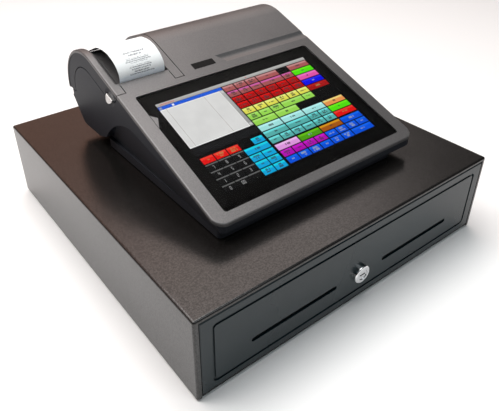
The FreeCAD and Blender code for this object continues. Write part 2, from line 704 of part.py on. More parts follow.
def display_gasket():
    """Black band behind the glass, open over the picture."""
    band = slab(rectangle((-GLASS_U / 2, GLASS_U / 2), (-GLASS_V / 2, GLASS_V / 2)), 3.0, xy, PANEL_N[1], GLASS_N[0])
    u, v = LCD_SHIFT
    picture = box((u - LCD_U / 2, u + LCD_U / 2), (v - LCD_V / 2, v + LCD_V / 2), (-5, 5))
    return tilted(band.cut(picture))


def display_panel():
    u, v = LCD_SHIFT
    return slope_block((u - 115, u + 115), (v - 74, v + 76), PANEL_N)


def display_bracket():
    """Pressed plate behind the panel, with two folded feet down to the base."""
    plate = slope_block((-118, 118), (-77, 80), (PANEL_N[0] - 1.2, PANEL_N[0]))
    lips = [slope_block((-118, 118), (v, v + 1.2), (PANEL_N[0] - 1.2, -2.8)) for v in (-78.2, 80)]
    floor = HOUSING_Z + WALL
    y = BOARD_Y[1] + 1.0
    legs = [box((x, x + 12), (y, y + 1.5), (floor, slope_z(y, PANEL_N[0] - 0.9))) for x in (-60, 100)]
    return fuse([plate] + lips + legs)


# ---------------------------------------------------------------- terminal: lower housing and ends
PANEL_X = (28.0, 124.0)           # socket panel in the lower back
PANEL_Z = (121.0, 139.0)
SWITCH_Y = 118.0
SWITCH_Z = 148.0
BUTTON_V = 109.6
BUTTON_N = -13.8          # the button's flat upper edge
BUTTON_HALF = 6.7
BUTTON_TALL = 7.5
BUTTON_PROUD = (0.9, 3.0)  # at the upper edge and at the lower
DISH_R = 11.0
SKIRT_N = -20.0


HINGE_CLEAR = 6.6
KNUCKLE_R = 3.5
PIN_R = 1.5
COVER_KNUCKLES = ((-118.0, -102.0), (-82.0, -66.0))
BASE_KNUCKLES = ((-127.0, -118.6), (-101.4, -82.6), (-65.4, -57.0))


def hinge_rod(radius, x):
    return rod(radius, vec(x[0], HINGE_Y, HINGE_Z), vec(x[1], HINGE_Y, HINGE_Z))


def end_zone():
    """The part of the lower shell that is the left end cheek: its plate and its leaning wall."""
    plate = box((T_LEFT - 1, T_LEFT + WALL + 0.2), (CHEEK_FRONT_Y, 250), (60, 300))
    lean = scoop(WALL + 0.4)
    lean = lean.common(box((T_LEFT - 20, T_LEFT + 40), (CHEEK_FRONT_Y, 250), (60, 300)))
    return plate.fuse(lean)


def skirt_zone(grow):
    """Dark strip of the left end that lifts with the printer cover, grown for its gap."""
    over_button = BUTTON_N + 1.0 - grow
    behind_button = BUTTON_V + BUTTON_HALF + 1.5 - grow
    front = [(LEG_FRONT_V - grow, 10), (LEG_FRONT_V - grow, -RIM), (99.0 - grow, over_button),
             (behind_button, over_button), (behind_button + 0.6, SKIRT_N - grow), (DRUM_V, SKIRT_N - grow), (DRUM_V, 10)]
    straight = outline(front, 0, yz).extrude(vec(WALL + 1.5, 0, 0))
    straight.translate(vec(T_LEFT - TERM_X - 1, 0, 0))
    ring = tube(DRUM_R + 5, DRUM_R + SKIRT_N - grow, vec(T_LEFT - 1, AXIS_Y, AXIS_Z),
                vec(T_LEFT + WALL + 0.5, AXIS_Y, AXIS_Z))
    back = fuse([slope_block((-200, 0), (DRUM_V, FAR), (-60, 20)),
                 box((-200, 20), (AXIS_Y, 260), (SPLIT_Z + 0.5 - grow, AXIS_Z + 70))])
    return tilted(straight).fuse(ring.common(back))


def button_zone(grow):
    """Half-moon of the release button, grown for its hole."""
    half = BUTTON_HALF + grow
    shape = rectangle((BUTTON_V - half, BUTTON_V + half), (BUTTON_N - BUTTON_TALL - grow, BUTTON_N + grow))
    reach = T_LEFT - TERM_X
    return tilted(slab(shape, [half - 0.05, half - 0.05, 0.6, 0.6], yz, reach - 5, reach + 12))


def finger_dish():
    """Shallow round recess in the end, round the button and on into the skirt."""
    reach = T_LEFT - TERM_X
    ball_r = 60.0
    sunk = DISH_R * DISH_R / (2 * ball_r)
    centre = slope_point(reach + INSET - ball_r + sunk, BUTTON_V + 0.5, BUTTON_N - 1.5)
    return Part.makeSphere(ball_r, centre)


def left_cheek(shell):
    cheek = shell.common(end_zone()).cut(skirt_zone(COVER_GAP)).cut(button_zone(0.4)).cut(finger_dish())
    cheek = cheek.cut(hinge_rod(HINGE_CLEAR, (T_LEFT - 1, T_LEFT + 10)))
    return max(cheek.Solids, key=lambda solid: solid.Volume)


def right_cheek(shell):
    window = box((T_RIGHT - 10, T_RIGHT + 5), (SWITCH_Y - 10.6, SWITCH_Y + 10.6), (SWITCH_Z - 7.6, SWITCH_Z + 7.6))
    cheek = shell.common(mirror_x(end_zone(), TERM_X)).cut(window)
    return max(cheek.Solids, key=lambda solid: solid.Volume)


def cover_skirt(shell):
    piece = shell.common(skirt_zone(0)).common(box((T_LEFT - 1, T_LEFT + WALL + 0.2), (-200, 300), (60, 300)))
    piece = piece.cut(finger_dish())
    return max(piece.Solids, key=lambda solid: solid.Volume)


def release_button():
    """Half-moon button whose face leans out of the cheek towards its round edge."""
    reach = T_LEFT - TERM_X
    low = BUTTON_N - BUTTON_TALL
    side = [(reach - BUTTON_PROUD[0], BUTTON_N + 0.1), (reach - BUTTON_PROUD[1], low - 0.1), (reach + 4.0, low - 0.1),
            (reach + 4.0, BUTTON_N + 0.1)]
    wedge = outline(side, 0, lambda u, n: vec(u, BUTTON_V - 20, n)).extrude(vec(0, 40, 0))
    body = button_zone(0).common(tilted(wedge)).Solids[0]
    return round_edges(body, 0.5, lambda b: b.XMax < T_LEFT - 0.7)


def bottom_housing(shell):
    """Base, front wall and lower back, with the hinge's fixed knuckles."""
    body = shell
    for zone in both_ends(end_zone()):
        body = body.cut(zone)
    body = max(body.Solids, key=lambda solid: solid.Volume)
    edge = TERM_X + COVER_RIGHT_U + COVER_GAP
    body = body.cut(hinge_rod(HINGE_CLEAR, (T_LEFT - 1, edge)))
    body = max(body.Solids, key=lambda solid: solid.Volume)
    pieces = [body]
    for x in BASE_KNUCKLES:
        pieces.append(hinge_rod(KNUCKLE_R, x))
        pieces.append(box(x, (HINGE_Y - 7.0, HINGE_Y - 1.5), (HINGE_Z - 7.5, HINGE_Z - 0.5)))
        pieces.append(box(x, (HINGE_Y - 16.0, HINGE_Y - 3.5), (HINGE_Z - 12.0, HINGE_Z - 6.8)))
    body = fuse(pieces + inner_posts()).common(form(0, 0, FRAME_CORNER))
    body = body.cut(hinge_rod(PIN_R + 0.01, (T_LEFT - 1, edge)))
    ports = box((PANEL_X[0] - 0.2, PANEL_X[1] + 0.2), (120, 200), (PANEL_Z[0] - 0.2, PANEL_Z[1] + 0.2))
    slots = [box((x, x + 2.2), (95, 125), (HOUSING_Z - 1, HOUSING_Z + WALL + 1)) for x in range(-30, 20, 6)]
    body = body.cut(ports)
    for slot in slots:
        body = body.cut(slot)
    return body


def hinge_pin():
    return hinge_rod(PIN_R, (BASE_KNUCKLES[0][0], BASE_KNUCKLES[-1][1]))


# ---------------------------------------------------------------- terminal: printer cover
CHANNEL_DEEP = 6.4
THICK_U = (-137.4, -64.4)
FLOOR_FRONT_V = 115.2
PLATEN_V = 118.0
PLATEN_N = -16.0
PLATEN_R = 5.5
PLATEN_AXLE_R = 2.0


def swept_round(points, start_v):
    """A (u, n) section carried up the slope from start_v and on round the drum."""
    spots = [vec(TERM_X + u, *on_slope(DRUM_V, n)) for u, n in points]
    face = Part.Face(Part.makePolygon(spots + [spots[0]]))
    run = start_v - DRUM_V
    straight = face.extrude(vec(0, COS * run, SIN * run))
    round_back = face.revolve(vec(0, AXIS_Y, AXIS_Z), vec(1, 0, 0), -115)
    return straight.fuse(round_back)


def channel():
    """The hollow that the receipt falls back over: a curved left wall, a flat floor, a steep right wall."""
    return swept_round([(-134.2, 1.0), (-134.2, 0.0), (-132.4, -0.5), (-130.7, -1.8), (-129.4, -3.8), (-128.7, -CHANNEL_DEEP),
                        (-69.4, -CHANNEL_DEEP), (-67.4, -5.0), (-66.6, 0.0), (-66.6, 1.0)], TEAR_V)


def printer_cover(shell):
    """Lid over the paper: two legs beside the slot, a hollow between them, arms that hold the roller."""
    outer = form(0, 0, FRAME_CORNER)
    skin = shell.common(cover_zone(0))
    deep = CHANNEL_DEEP + 2.6
    thick = swept_round([(THICK_U[0], 0), (THICK_U[1], 0), (THICK_U[1], -deep), (THICK_U[0], -deep)], TEAR_V + 0.3)
    lid = skin.fuse(thick.cut(under_split())).cut(channel())
    slot = slope_block((-130.2, -66.6), (TEAR_V - 5, FLOOR_FRONT_V), (-40, 5))
    lid = lid.cut(slot)
    arms = []
    for u in (-130.6, -68.6):
        arm = slab([(FLOOR_FRONT_V + 0.2, -7.0), (FLOOR_FRONT_V - 1.4, PLATEN_N), (FLOOR_FRONT_V, PLATEN_N - 3.5),
                    (PLATEN_V + 3.0, PLATEN_N - 3.5), (PLATEN_V + 9, -7.0)], 0, yz, u, u + 1.4)
        arms.append(tilted(arm))
    hook = slope_block((-133.5, -131.5), (108, 112), (-12, -2.5))
    knuckles = []
    for x in COVER_KNUCKLES:
        knuckles.append(hinge_rod(KNUCKLE_R, x))
        knuckles.append(box(x, (HINGE_Y - KNUCKLE_R, HINGE_Y + KNUCKLE_R), (HINGE_Z, SPLIT_Z + 5)).common(outer))
    lid = lid.cut(fuse([hinge_rod(KNUCKLE_R + 0.4, x) for x in BASE_KNUCKLES[:1]]))
    lid = lid.multiFuse(arms + [hook] + knuckles)
    axle = rod(PLATEN_AXLE_R + RUNNING, slope_point(-140, PLATEN_V, PLATEN_N), slope_point(-50, PLATEN_V, PLATEN_N))
    lid = lid.cut(axle).cut(hinge_rod(PIN_R + RUNNING, (T_LEFT - 1, -50)))
    return max(lid.Solids, key=lambda solid: solid.Volume)


def under_split():
    return box((-250, 250), (AXIS_Y, 260), (60, SPLIT_Z + 0.5))


def gear(teeth, phase, v, n):
    """Straight-toothed gear across u, with one tooth at the phase angle (degrees, from v towards n)."""
    pitch_r = teeth * GEAR_MODULE / 2
    outer = pitch_r + 0.6 * GEAR_MODULE
    root = pitch_r - 0.9 * GEAR_MODULE
    step = 360.0 / teeth
    points = []
    for i in range(teeth):
        middle = phase + i * step
        for part, radius in ((-0.27, root), (-0.13, outer), (0.13, outer), (0.27, root)):
            angle = math.radians(middle + part * step)
            points.append((v + radius * math.cos(angle), n + radius * math.sin(angle)))
    return tilted(slab(points, 0, yz, GEAR_U[0], GEAR_U[1]))


GEAR_MODULE = 0.8
PLATEN_TEETH = 18
PINION_TEETH = 14
GEAR_U = (-63.6, -60.2)
PINION_ANGLE = -140.0         # direction from the platen to the motor, from v towards n
GEAR_REACH = (PLATEN_TEETH + PINION_TEETH) * GEAR_MODULE / 2 + 0.3
MOTOR_V = PLATEN_V + GEAR_REACH * math.cos(math.radians(PINION_ANGLE))
MOTOR_N = PLATEN_N + GEAR_REACH * math.sin(math.radians(PINION_ANGLE))


def platen_roller():
    """Rubber roller on a steel axle, carried by the cover."""
    half = PAPER_W / 2 + 1.2
    return tilted(tube(PLATEN_R, PLATEN_AXLE_R, vec(PAPER_U - half, PLATEN_V, PLATEN_N),
                       vec(PAPER_U + half, PLATEN_V, PLATEN_N)))


def platen_axle():
    """Steel axle with its gear pressed on."""
    axle = tilted(rod(PLATEN_AXLE_R, vec(-131.6, PLATEN_V, PLATEN_N), vec(GEAR_U[1], PLATEN_V, PLATEN_N)))
    return fuse([axle, gear(PLATEN_TEETH, PINION_ANGLE, PLATEN_V, PLATEN_N)])


# ---------------------------------------------------------------- terminal: printer inside
ROLL_R = 30.0
SPINDLE_R = 5.5
BUCKET_R = 36.0
BUCKET_X = (TERM_X - 130.6, TERM_X - 67.4)


def paper_bucket():
    """Open trough under the roll, with end discs that carry the spindle and two feet."""
    outer = rod(BUCKET_R + 1.6, vec(BUCKET_X[0], AXIS_Y, AXIS_Z), vec(BUCKET_X[1], AXIS_Y, AXIS_Z))
    inner = rod(BUCKET_R, vec(BUCKET_X[0] + 1.6, AXIS_Y, AXIS_Z), vec(BUCKET_X[1] - 1.6, AXIS_Y, AXIS_Z))
    shell = outer.cut(inner)
    top = box((-200, 0), (AXIS_Y - 60, AXIS_Y + 60), (AXIS_Z + 8, AXIS_Z + 60))
    mouth = slab([(AXIS_Y - 60, AXIS_Z - 14), (AXIS_Y - 20, AXIS_Z - 14), (AXIS_Y, AXIS_Z + 20), (AXIS_Y - 60, AXIS_Z + 20)],
                 0, yz, BUCKET_X[0] + 1.6, BUCKET_X[1] - 1.6)
    feet = [box((x, x + 4), (AXIS_Y - 10, AXIS_Y + 10), (HOUSING_Z + WALL, AXIS_Z - BUCKET_R - 0.5)) for x in (-112, -80)]
    bucket = fuse([shell.cut(top).cut(mouth)] + feet)
    return bucket.cut(rod(SPINDLE_R + 0.01, vec(BUCKET_X[0] - 1, AXIS_Y, AXIS_Z), vec(BUCKET_X[1] + 1, AXIS_Y, AXIS_Z)))


def roll_spindle():
    return rod(SPINDLE_R, vec(BUCKET_X[0], AXIS_Y, AXIS_Z), vec(BUCKET_X[1], AXIS_Y, AXIS_Z))


def paper_roll():
    """Coreless roll of thermal paper."""
    left = TERM_X + PAPER_U - PAPER_W / 2
    return tube(ROLL_R, SPINDLE_R + RUNNING, vec(left, AXIS_Y, AXIS_Z), vec(left + PAPER_W, AXIS_Y, AXIS_Z))


def receipt_paper():
    """Printed slip: straight up out of the slot, then curling back over the cover."""
    line = [(111.95, -9.6), (111.9, -5.0), (112.0, 0.2), (114.0, 6.2), (119.2, 11.6), (127.4, 15.2), (137.6, 16.6),
            (148.0, 15.6), (158.0, 12.2)]
    turns = [(65.6, 7), (61.2, 14), (56.8, 22), (53.8, 31), (52.6, 41), (52.4, 50)]
    line += [(DRUM_V + r * math.sin(math.radians(a)), -DRUM_R + r * math.cos(math.radians(a))) for r, a in turns]
    thick = 0.25
    curves = []
    for offset in (0.0, thick):
        points = []
        for i, (v, n) in enumerate(line):
            ahead = line[min(i + 1, len(line) - 1)]
            behind = line[max(i - 1, 0)]
            run = math.hypot(ahead[0] - behind[0], ahead[1] - behind[1])
            points.append(vec(0, v + offset * (ahead[1] - behind[1]) / run, n - offset * (ahead[0] - behind[0]) / run))
        curve = Part.BSplineCurve()
        curve.interpolate(points)
        curves.append(curve.toShape())
    start = Part.LineSegment(curves[0].Vertexes[0].Point, curves[1].Vertexes[0].Point).toShape()
    end = Part.LineSegment(curves[0].Vertexes[-1].Point, curves[1].Vertexes[-1].Point).toShape()
    face = Part.Face(Part.Wire(Part.sortEdges([curves[0], end, curves[1], start])[0]))
    face.translate(vec(PAPER_U - PAPER_W / 2, 0, 0))
    return tilted(face.extrude(vec(PAPER_W, 0, 0)))


def thermal_head():
    return slope_block((-124.5, -74.0), (107.0, 111.7), (-21, -10))


def printer_frame():
    """Two side plates standing on the base and the beam between them that backs the head."""
    plates = []
    for u in (-126.4, -67.4):
        corners = [on_slope(90, -8), on_slope(110, -8), on_slope(110, -34), (66, HOUSING_Z + WALL), (26, HOUSING_Z + WALL)]
        plates.append(slab(corners, 0, yz, TERM_X + u, TERM_X + u + 1.2))
    beam = slope_block((-126, -67), (101, 107.0), (-24, -12))
    return fuse(plates + [beam])


MOTOR_U = (-57.0, -40.0)
SHAFT_R = 1.2


def print_motor():
    """Stepper motor on a post, which turns the platen's gear once the cover is shut."""
    y, z = on_slope(MOTOR_V, MOTOR_N)
    can = tilted(rod(11.0, vec(MOTOR_U[0], MOTOR_V, MOTOR_N), vec(MOTOR_U[1], MOTOR_V, MOTOR_N)))
    post = box((TERM_X + MOTOR_U[0] + 2, TERM_X + MOTOR_U[1] - 2), (y - 6, y + 6), (HOUSING_Z + WALL, z))
    bore = tilted(rod(SHAFT_R + RUNNING, vec(MOTOR_U[0] - 1, MOTOR_V, MOTOR_N), vec(-49.0, MOTOR_V, MOTOR_N)))
    return fuse([can, post]).cut(bore)


def motor_pinion():
    wheel = gear(PINION_TEETH, PINION_ANGLE + 180 + 180.0 / PINION_TEETH, MOTOR_V, MOTOR_N)
    shaft = tilted(rod(SHAFT_R, vec(GEAR_U[0], MOTOR_V, MOTOR_N), vec(-50.0, MOTOR_V, MOTOR_N)))
    return fuse([wheel, shaft])


# ---------------------------------------------------------------- terminal: boards, sockets, base
BOARD_Z = 122.0
BOARD_X = (-62.0, 128.0)
BOARD_Y = (-78.0, 11.0)


def main_board():
    return box(BOARD_X, BOARD_Y, (BOARD_Z, BOARD_Z + 1.6))


def board_chips():
    """Processor, memory, regulators and plugs on the board."""
    top = BOARD_Z + 1.6
    blocks = [(20, -40, 30, 30, 2.4), (60, -50, 14, 10, 1.2), (60, -34, 14, 10, 1.2), (84, -30, 18, 18, 2.0),
              (-30, -20, 16, 16, 1.6), (-48, -30, 8, 40, 6.0), (108, -20, 12, 24, 7.0)]
    chips = [box((x, x + w), (y, y + d), (top, top + h)) for x, y, w, d, h in blocks]
    cans = [rod(4, vec(x, 0, top), vec(x, 0, top + 10)) for x in (60, 72, 84)]
    return chips + cans


SUPPLY_Z = HOUSING_Z + WALL + 4.0


def power_supply():
    return box((-20, 70), (68, 112), (SUPPLY_Z, 156))


def inner_posts():
    """Moulded posts under the board and the power supply."""
    floor = HOUSING_Z + WALL - 0.5
    board = [rod(3.0, vec(x, y, floor), vec(x, y, BOARD_Z)) for x in (-56, 122) for y in (-72, 6)]
    supply = [rod(3.5, vec(x, y, floor), vec(x, y, SUPPLY_Z)) for x in (-14, 64) for y in (74, 106)]
    return board + supply


PANEL_Y = 143.0


def port_boxes():
    """Outer block and inner cavity of every socket, from left to right: two network, two USB, one power."""
    middle = (PANEL_Z[0] + PANEL_Z[1]) / 2
    spots = [(42, middle, 15, 13), (61, middle, 15, 13), (80, middle + 4.2, 14, 6.6), (80, middle - 4.2, 14, 6.6),
             (99, middle, 12, 12)]
    pairs = []
    for x, z, w, h in spots:
        block = box((x - w / 2, x + w / 2), (PANEL_Y - 14, PANEL_Y), (z - h / 2, z + h / 2))
        cavity = box((x - w / 2 + 1, x + w / 2 - 1), (PANEL_Y - 11, PANEL_Y + 1), (z - h / 2 + 1, z + h / 2 - 1))
        pairs.append((block, cavity))
    return pairs


def port_sockets():
    sockets = []
    for i, (block, cavity) in enumerate(port_boxes()):
        socket = block.cut(cavity)
        if i in (2, 3):
            centre = cavity.BoundBox.Center
            socket = fuse([socket, box((centre.x - 5, centre.x + 5), (PANEL_Y - 12, PANEL_Y - 2),
                                       (centre.z - 0.3, centre.z + 1.2))])
        if i == 4:
            centre = cavity.BoundBox.Center
            pin = rod(1.2, vec(centre.x, PANEL_Y - 12, centre.z), vec(centre.x, PANEL_Y - 2, centre.z))
            socket = fuse([socket, pin])
        sockets.append(socket)
    return sockets


def socket_panel():
    """Steel panel set back in the lower housing's rear window."""
    panel = box(PANEL_X, (PANEL_Y - 2, PANEL_Y - 0.8), PANEL_Z)
    for block, _ in port_boxes():
        b = block.BoundBox
        panel = panel.cut(box((b.XMin - 0.1, b.XMax + 0.1), (PANEL_Y - 20, PANEL_Y + 5), (b.ZMin - 0.1, b.ZMax + 0.1)))
    return panel


def switch_frame():
    """Surround of the power switch in the right end."""
    face = T_RIGHT - INSET
    frame = box((face - 14, face), (SWITCH_Y - 10.4, SWITCH_Y + 10.4), (SWITCH_Z - 7.4, SWITCH_Z + 7.4))
    frame = frame.cut(box((face - 8, face + 1), (SWITCH_Y - 8.6, SWITCH_Y + 8.6), (SWITCH_Z - 5.6, SWITCH_Z + 5.6)))
    return frame.cut(rocker_axle(ROCKER_AXLE_R + RUNNING, 6.8))


ROCKER_AXLE_R = 1.2
ROCKER_IN = 3.3           # how far the rocker's axle lies behind the face


def rocker_axle(radius, half):
    x = T_RIGHT - INSET - ROCKER_IN
    return rod(radius, vec(x, SWITCH_Y, SWITCH_Z - half), vec(x, SWITCH_Y, SWITCH_Z + half))


def power_rocker():
    """Two-faced rocker on its own axle line, level at rest."""
    face = T_RIGHT - INSET
    half = 7.9
    points = [(face - 5.5, SWITCH_Y - half + 0.8), (face - 1.0, SWITCH_Y - half), (face - 1.8, SWITCH_Y),
              (face - 1.0, SWITCH_Y + half), (face - 5.5, SWITCH_Y + half - 0.8)]
    return fuse([slab(points, 0, xy, SWITCH_Z - 5.2, SWITCH_Z + 5.2), rocker_axle(ROCKER_AXLE_R, 6.5)])


PEDESTAL_X = (-128.0, 117.0)
PEDESTAL_Y = (-139.0, 88.5)
PAD_H = 1.5


def pedestal():
    """Black plinth between the housing and the drawer's lid."""
    body = slab(rectangle(PEDESTAL_X, PEDESTAL_Y), 5.0, xy, LID_Z + PAD_H, HOUSING_Z)
    hollow = slab(rectangle((PEDESTAL_X[0] + 5, PEDESTAL_X[1] - 5), (PEDESTAL_Y[0] + 5, PEDESTAL_Y[1] - 5)), 3.0, xy,
                  LID_Z, HOUSING_Z - 4)
    pads = [rod(10, vec(x, y, LID_Z + PAD_H), vec(x, y, HOUSING_Z - 1)) for x, y in pad_places()]
    return fuse([body.cut(hollow)] + pads)


def pad_places():
    return [(x, y) for x in (PEDESTAL_X[0] + 20, PEDESTAL_X[1] - 20) for y in (PEDESTAL_Y[0] + 20, PEDESTAL_Y[1] - 20)]


def pedestal_pads():
    return [rod(8.0, vec(x, y, LID_Z), vec(x, y, LID_Z + PAD_H)) for x, y in pad_places()]


def housing_screws():
    """Pan-head screws that hold the printer frame, the bucket and the boards down."""
    floor = HOUSING_Z + WALL
    places = [(x, y) for x in (-56, 122) for y in (-72, 6)]
    return [rod(2.6, vec(x, y, BOARD_Z + 1.6), vec(x, y, BOARD_Z + 3.4)) for x, y in places] + \
        [rod(2.6, vec(x, -100, floor), vec(x, -100, floor + 2)) for x in (-90, 100)]


# ---------------------------------------------------------------- build
def build_drawer():
    save("case_cover", case_cover())
    save("case_base", case_base())
    save("rubber_feet", case_feet() + pedestal_pads())
    save("case_rails", [case_rail(-1), case_rail(1)])
    save("drawer_rails", [drawer_rail(-1), drawer_rail(1)])
    for side, word in ((-1, "left"), (1, "right")):
        save("case_roller_" + word, roller(side, CASE_ROLLER_Y))
        save("drawer_roller_" + word, roller(side, DRAWER_ROLLER_Y))
    save("drawer_front", drawer_front())
    save("drawer_tray", drawer_tray())
    save("till_tray", till_tray())
    save("till_dividers", till_dividers())
    save("clip_rod", clip_rod())
    for number, x in enumerate(bay_edges(NOTE_BAYS)[1], 1):
        save("note_clip_%d" % number, note_clip(x))
    save("lock_body", lock_body())
    save("lock_plug", lock_plug())
    save("case_brackets", [lock_keeper(), latch_bracket(), spring_peg()])
    save("latch_lever", latch_lever())
    save("solenoid", solenoid())
    save("solenoid_plunger", solenoid_plunger())
    save("eject_spring", eject_spring())


def build_terminal():
    upper = top_shell()
    lower = lower_shell()
    save("pedestal", pedestal())
    save("bottom_housing", bottom_housing(lower))
    save("left_cheek", left_cheek(lower))
    save("right_cheek", right_cheek(lower))
    save("top_housing", top_housing(upper))
    save("badge_plate", badge_plate())
    save("bezel_tab", bezel_tab())
    save("tear_bar", tear_bar())
    save("touch_glass", touch_glass())
    save("display_gasket", display_gasket())
    save("display_panel", display_panel())
    save("display_bracket", display_bracket())
    save("printer_cover", printer_cover(upper))
    save("cover_skirt", cover_skirt(lower))
    save("hinge_pin", hinge_pin())
    save("release_button", release_button())
    save("platen_roller", platen_roller())
    save("platen_axle", platen_axle())
    save("motor_pinion", motor_pinion())
    save("print_motor", print_motor())
    save("printer_frame", printer_frame())
    save("thermal_head", thermal_head())
    save("paper_bucket", paper_bucket())
    save("roll_spindle", roll_spindle())
    save("paper_roll", paper_roll())
    save("receipt_paper", receipt_paper())
    save("main_board", main_board())
    save("board_chips", board_chips())
    save("power_supply", power_supply())
    save("port_sockets", port_sockets() + [drawer_socket()])
    save("socket_panel", socket_panel())
    save("switch_frame", switch_frame())
    save("power_rocker", power_rocker())
    save("housing_screws", housing_screws())


os.makedirs("parts", exist_ok=True)
build_drawer()
build_terminal()
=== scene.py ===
import json
import math

import bmesh
import bpy
from mathutils import Matrix, Vector


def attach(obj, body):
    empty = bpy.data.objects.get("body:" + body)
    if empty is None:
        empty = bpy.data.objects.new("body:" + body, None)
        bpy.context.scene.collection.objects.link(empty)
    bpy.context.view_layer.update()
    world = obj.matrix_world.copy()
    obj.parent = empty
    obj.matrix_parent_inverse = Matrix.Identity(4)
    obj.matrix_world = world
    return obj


# Looks of a till on its cash drawer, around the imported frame. Metres, in the frame's own axes.

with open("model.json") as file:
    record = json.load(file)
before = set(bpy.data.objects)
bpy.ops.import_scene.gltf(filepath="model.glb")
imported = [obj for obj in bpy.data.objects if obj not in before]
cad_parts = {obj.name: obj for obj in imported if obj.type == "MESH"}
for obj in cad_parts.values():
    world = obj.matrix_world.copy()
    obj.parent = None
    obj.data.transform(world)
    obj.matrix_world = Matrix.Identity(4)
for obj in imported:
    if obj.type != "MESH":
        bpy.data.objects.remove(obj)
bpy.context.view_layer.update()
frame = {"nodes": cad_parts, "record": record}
scene = bpy.context.scene


def grey(value):
    return (value, value, value)


# ------------------------------------------------------------------ shader nodes
def new_material(name):
    material = bpy.data.materials.new(name)
    material.use_nodes = True
    return material, material.node_tree, material.node_tree.nodes["Principled BSDF"]


def noise(tree, scale, detail, stretch=(1, 1, 1)):
    """A noise in object space; scale is in grains per metre."""
    where = tree.nodes.new("ShaderNodeTexCoord")
    mapping = tree.nodes.new("ShaderNodeMapping")
    mapping.inputs["Scale"].default_value = stretch
    texture = tree.nodes.new("ShaderNodeTexNoise")
    texture.inputs["Scale"].default_value = scale
    texture.inputs["Detail"].default_value = detail
    tree.links.new(where.outputs["Object"], mapping.inputs["Vector"])
    tree.links.new(mapping.outputs["Vector"], texture.inputs["Vector"])
    return texture.outputs["Fac"]


def stepped(tree, source, stops):
    """Colour ramp through any number of (position, colour) stops."""
    node = tree.nodes.new("ShaderNodeValToRGB")
    elements = node.color_ramp.elements
    while len(elements) < len(stops):
        elements.new(1.0)
    for element, (position, colour) in zip(elements, stops):
        element.position = position
        element.color = (*colour, 1)
    tree.links.new(source, node.inputs["Fac"])
    return node.outputs["Color"]


def ramp(tree, source, low, high, at=(0.3, 0.7)):
    return stepped(tree, source, ((at[0], low), (at[1], high)))


def spread(tree, source, low, high):
    """The source's 0 to 1 stretched to low to high."""
    node = tree.nodes.new("ShaderNodeMapRange")
    node.inputs["To Min"].default_value = low
    node.inputs["To Max"].default_value = high
    tree.links.new(source, node.inputs["Value"])
    return node.outputs["Result"]


def mix(tree, kind, a, b):
    node = tree.nodes.new("ShaderNodeMix")
    node.data_type = "RGBA"
    node.blend_type = kind
    node.inputs["Factor"].default_value = 1.0
    tree.links.new(a, node.inputs["A"])
    tree.links.new(b, node.inputs["B"])
    return node.outputs["Result"]


def maths(tree, kind, a, b=None):
    """Math node; each operand is a number or a socket."""
    node = tree.nodes.new("ShaderNodeMath")
    node.operation = kind
    for socket, value in zip(node.inputs, (a, b)):
        if isinstance(value, (int, float)):
            socket.default_value = value
        elif value is not None:
            tree.links.new(value, socket)
    return node.outputs[0]


def bump(tree, shader, source, relief):
    node = tree.nodes.new("ShaderNodeBump")
    node.inputs["Distance"].default_value = relief
    tree.links.new(source, node.inputs["Height"])
    tree.links.new(node.outputs["Normal"], shader.inputs["Normal"])


# ------------------------------------------------------------------ camera
EYE = Vector((-0.3665, -0.47655, 0.4501))
AIM = Vector((0.0079, 0.03295, 0.0525))
UPWARD = Vector((0, 0, 1))
ROLL = math.radians(-0.99)
SENSOR_MM = 36.0
LENS_MM = 40.78
SHIFT = (0.0463, -0.0886)
NEAREST = 0.02
FARTHEST = 30.0


def make_camera():
    data = bpy.data.cameras.new("camera")
    data.sensor_width = SENSOR_MM
    data.lens = LENS_MM
    data.shift_x, data.shift_y = SHIFT
    data.clip_start = NEAREST
    data.clip_end = FARTHEST
    camera = bpy.data.objects.new("camera", data)
    ahead = (AIM - EYE).normalized()
    right = ahead.cross(UPWARD).normalized()
    up = right.cross(ahead)
    x = right * math.cos(ROLL) + up * math.sin(ROLL)
    y = -right * math.sin(ROLL) + up * math.cos(ROLL)
    turn = Matrix((x, y, -ahead)).transposed().to_4x4()
    camera.matrix_world = Matrix.Translation(EYE) @ turn
    scene.collection.objects.link(camera)
    scene.camera = camera


# ------------------------------------------------------------------ light and floor
# Each light: place, what it points at, side of its square, watts, colour.
LIGHTS = {
    "key": ((-0.15, 0.30, 1.9), (0.0, 0.0, 0.0), 1.5, 36.0, (1.0, 0.985, 0.97)),
    "front": ((0.3, -1.5, 1.7), (0.0, -0.4, 0.0), 1.2, 7.0, (0.90, 0.97, 1.0)),
    "left": ((-1.2, 0.6, 1.9), (-0.6, 0.2, 0.0), 1.0, 12.0, (1.0, 0.98, 0.96)),
}
# The surroundings depend on the direction looked in: the positions are its Z, Y and X components.
WORLD_BY_HEIGHT = (
    (0.02, grey(0.03)),
    (0.26, grey(0.11)),
    (0.40, grey(0.64)),
    (0.55, grey(0.84)),
    (1.00, grey(0.95)),
)
WORLD_BY_DEPTH = (
    (0.00, (0.17, 0.19, 0.20)),
    (0.22, (0.30, 0.31, 0.32)),
    (0.50, (0.90, 0.80, 0.76)),
    (0.80, (1.10, 0.60, 0.45)),
)
WORLD_BY_SIDE = (
    (0.00, grey(1.0)),
    (0.50, grey(1.0)),
    (0.66, grey(0.72)),
    (0.78, grey(0.22)),
)
# A soft box behind on the right: the ramp runs over the cosine of the angle to its middle.
SOFT_BOX_AT = (0.46, 0.56, 0.68)
SOFT_BOX_EDGE = ((0.945, grey(0.0)), (0.985, (1.05, 0.94, 0.90)))
FLOOR_REACH = 8.0
FLOOR_COLOUR = grey(0.93)
FLOOR_ROUGH = 0.7


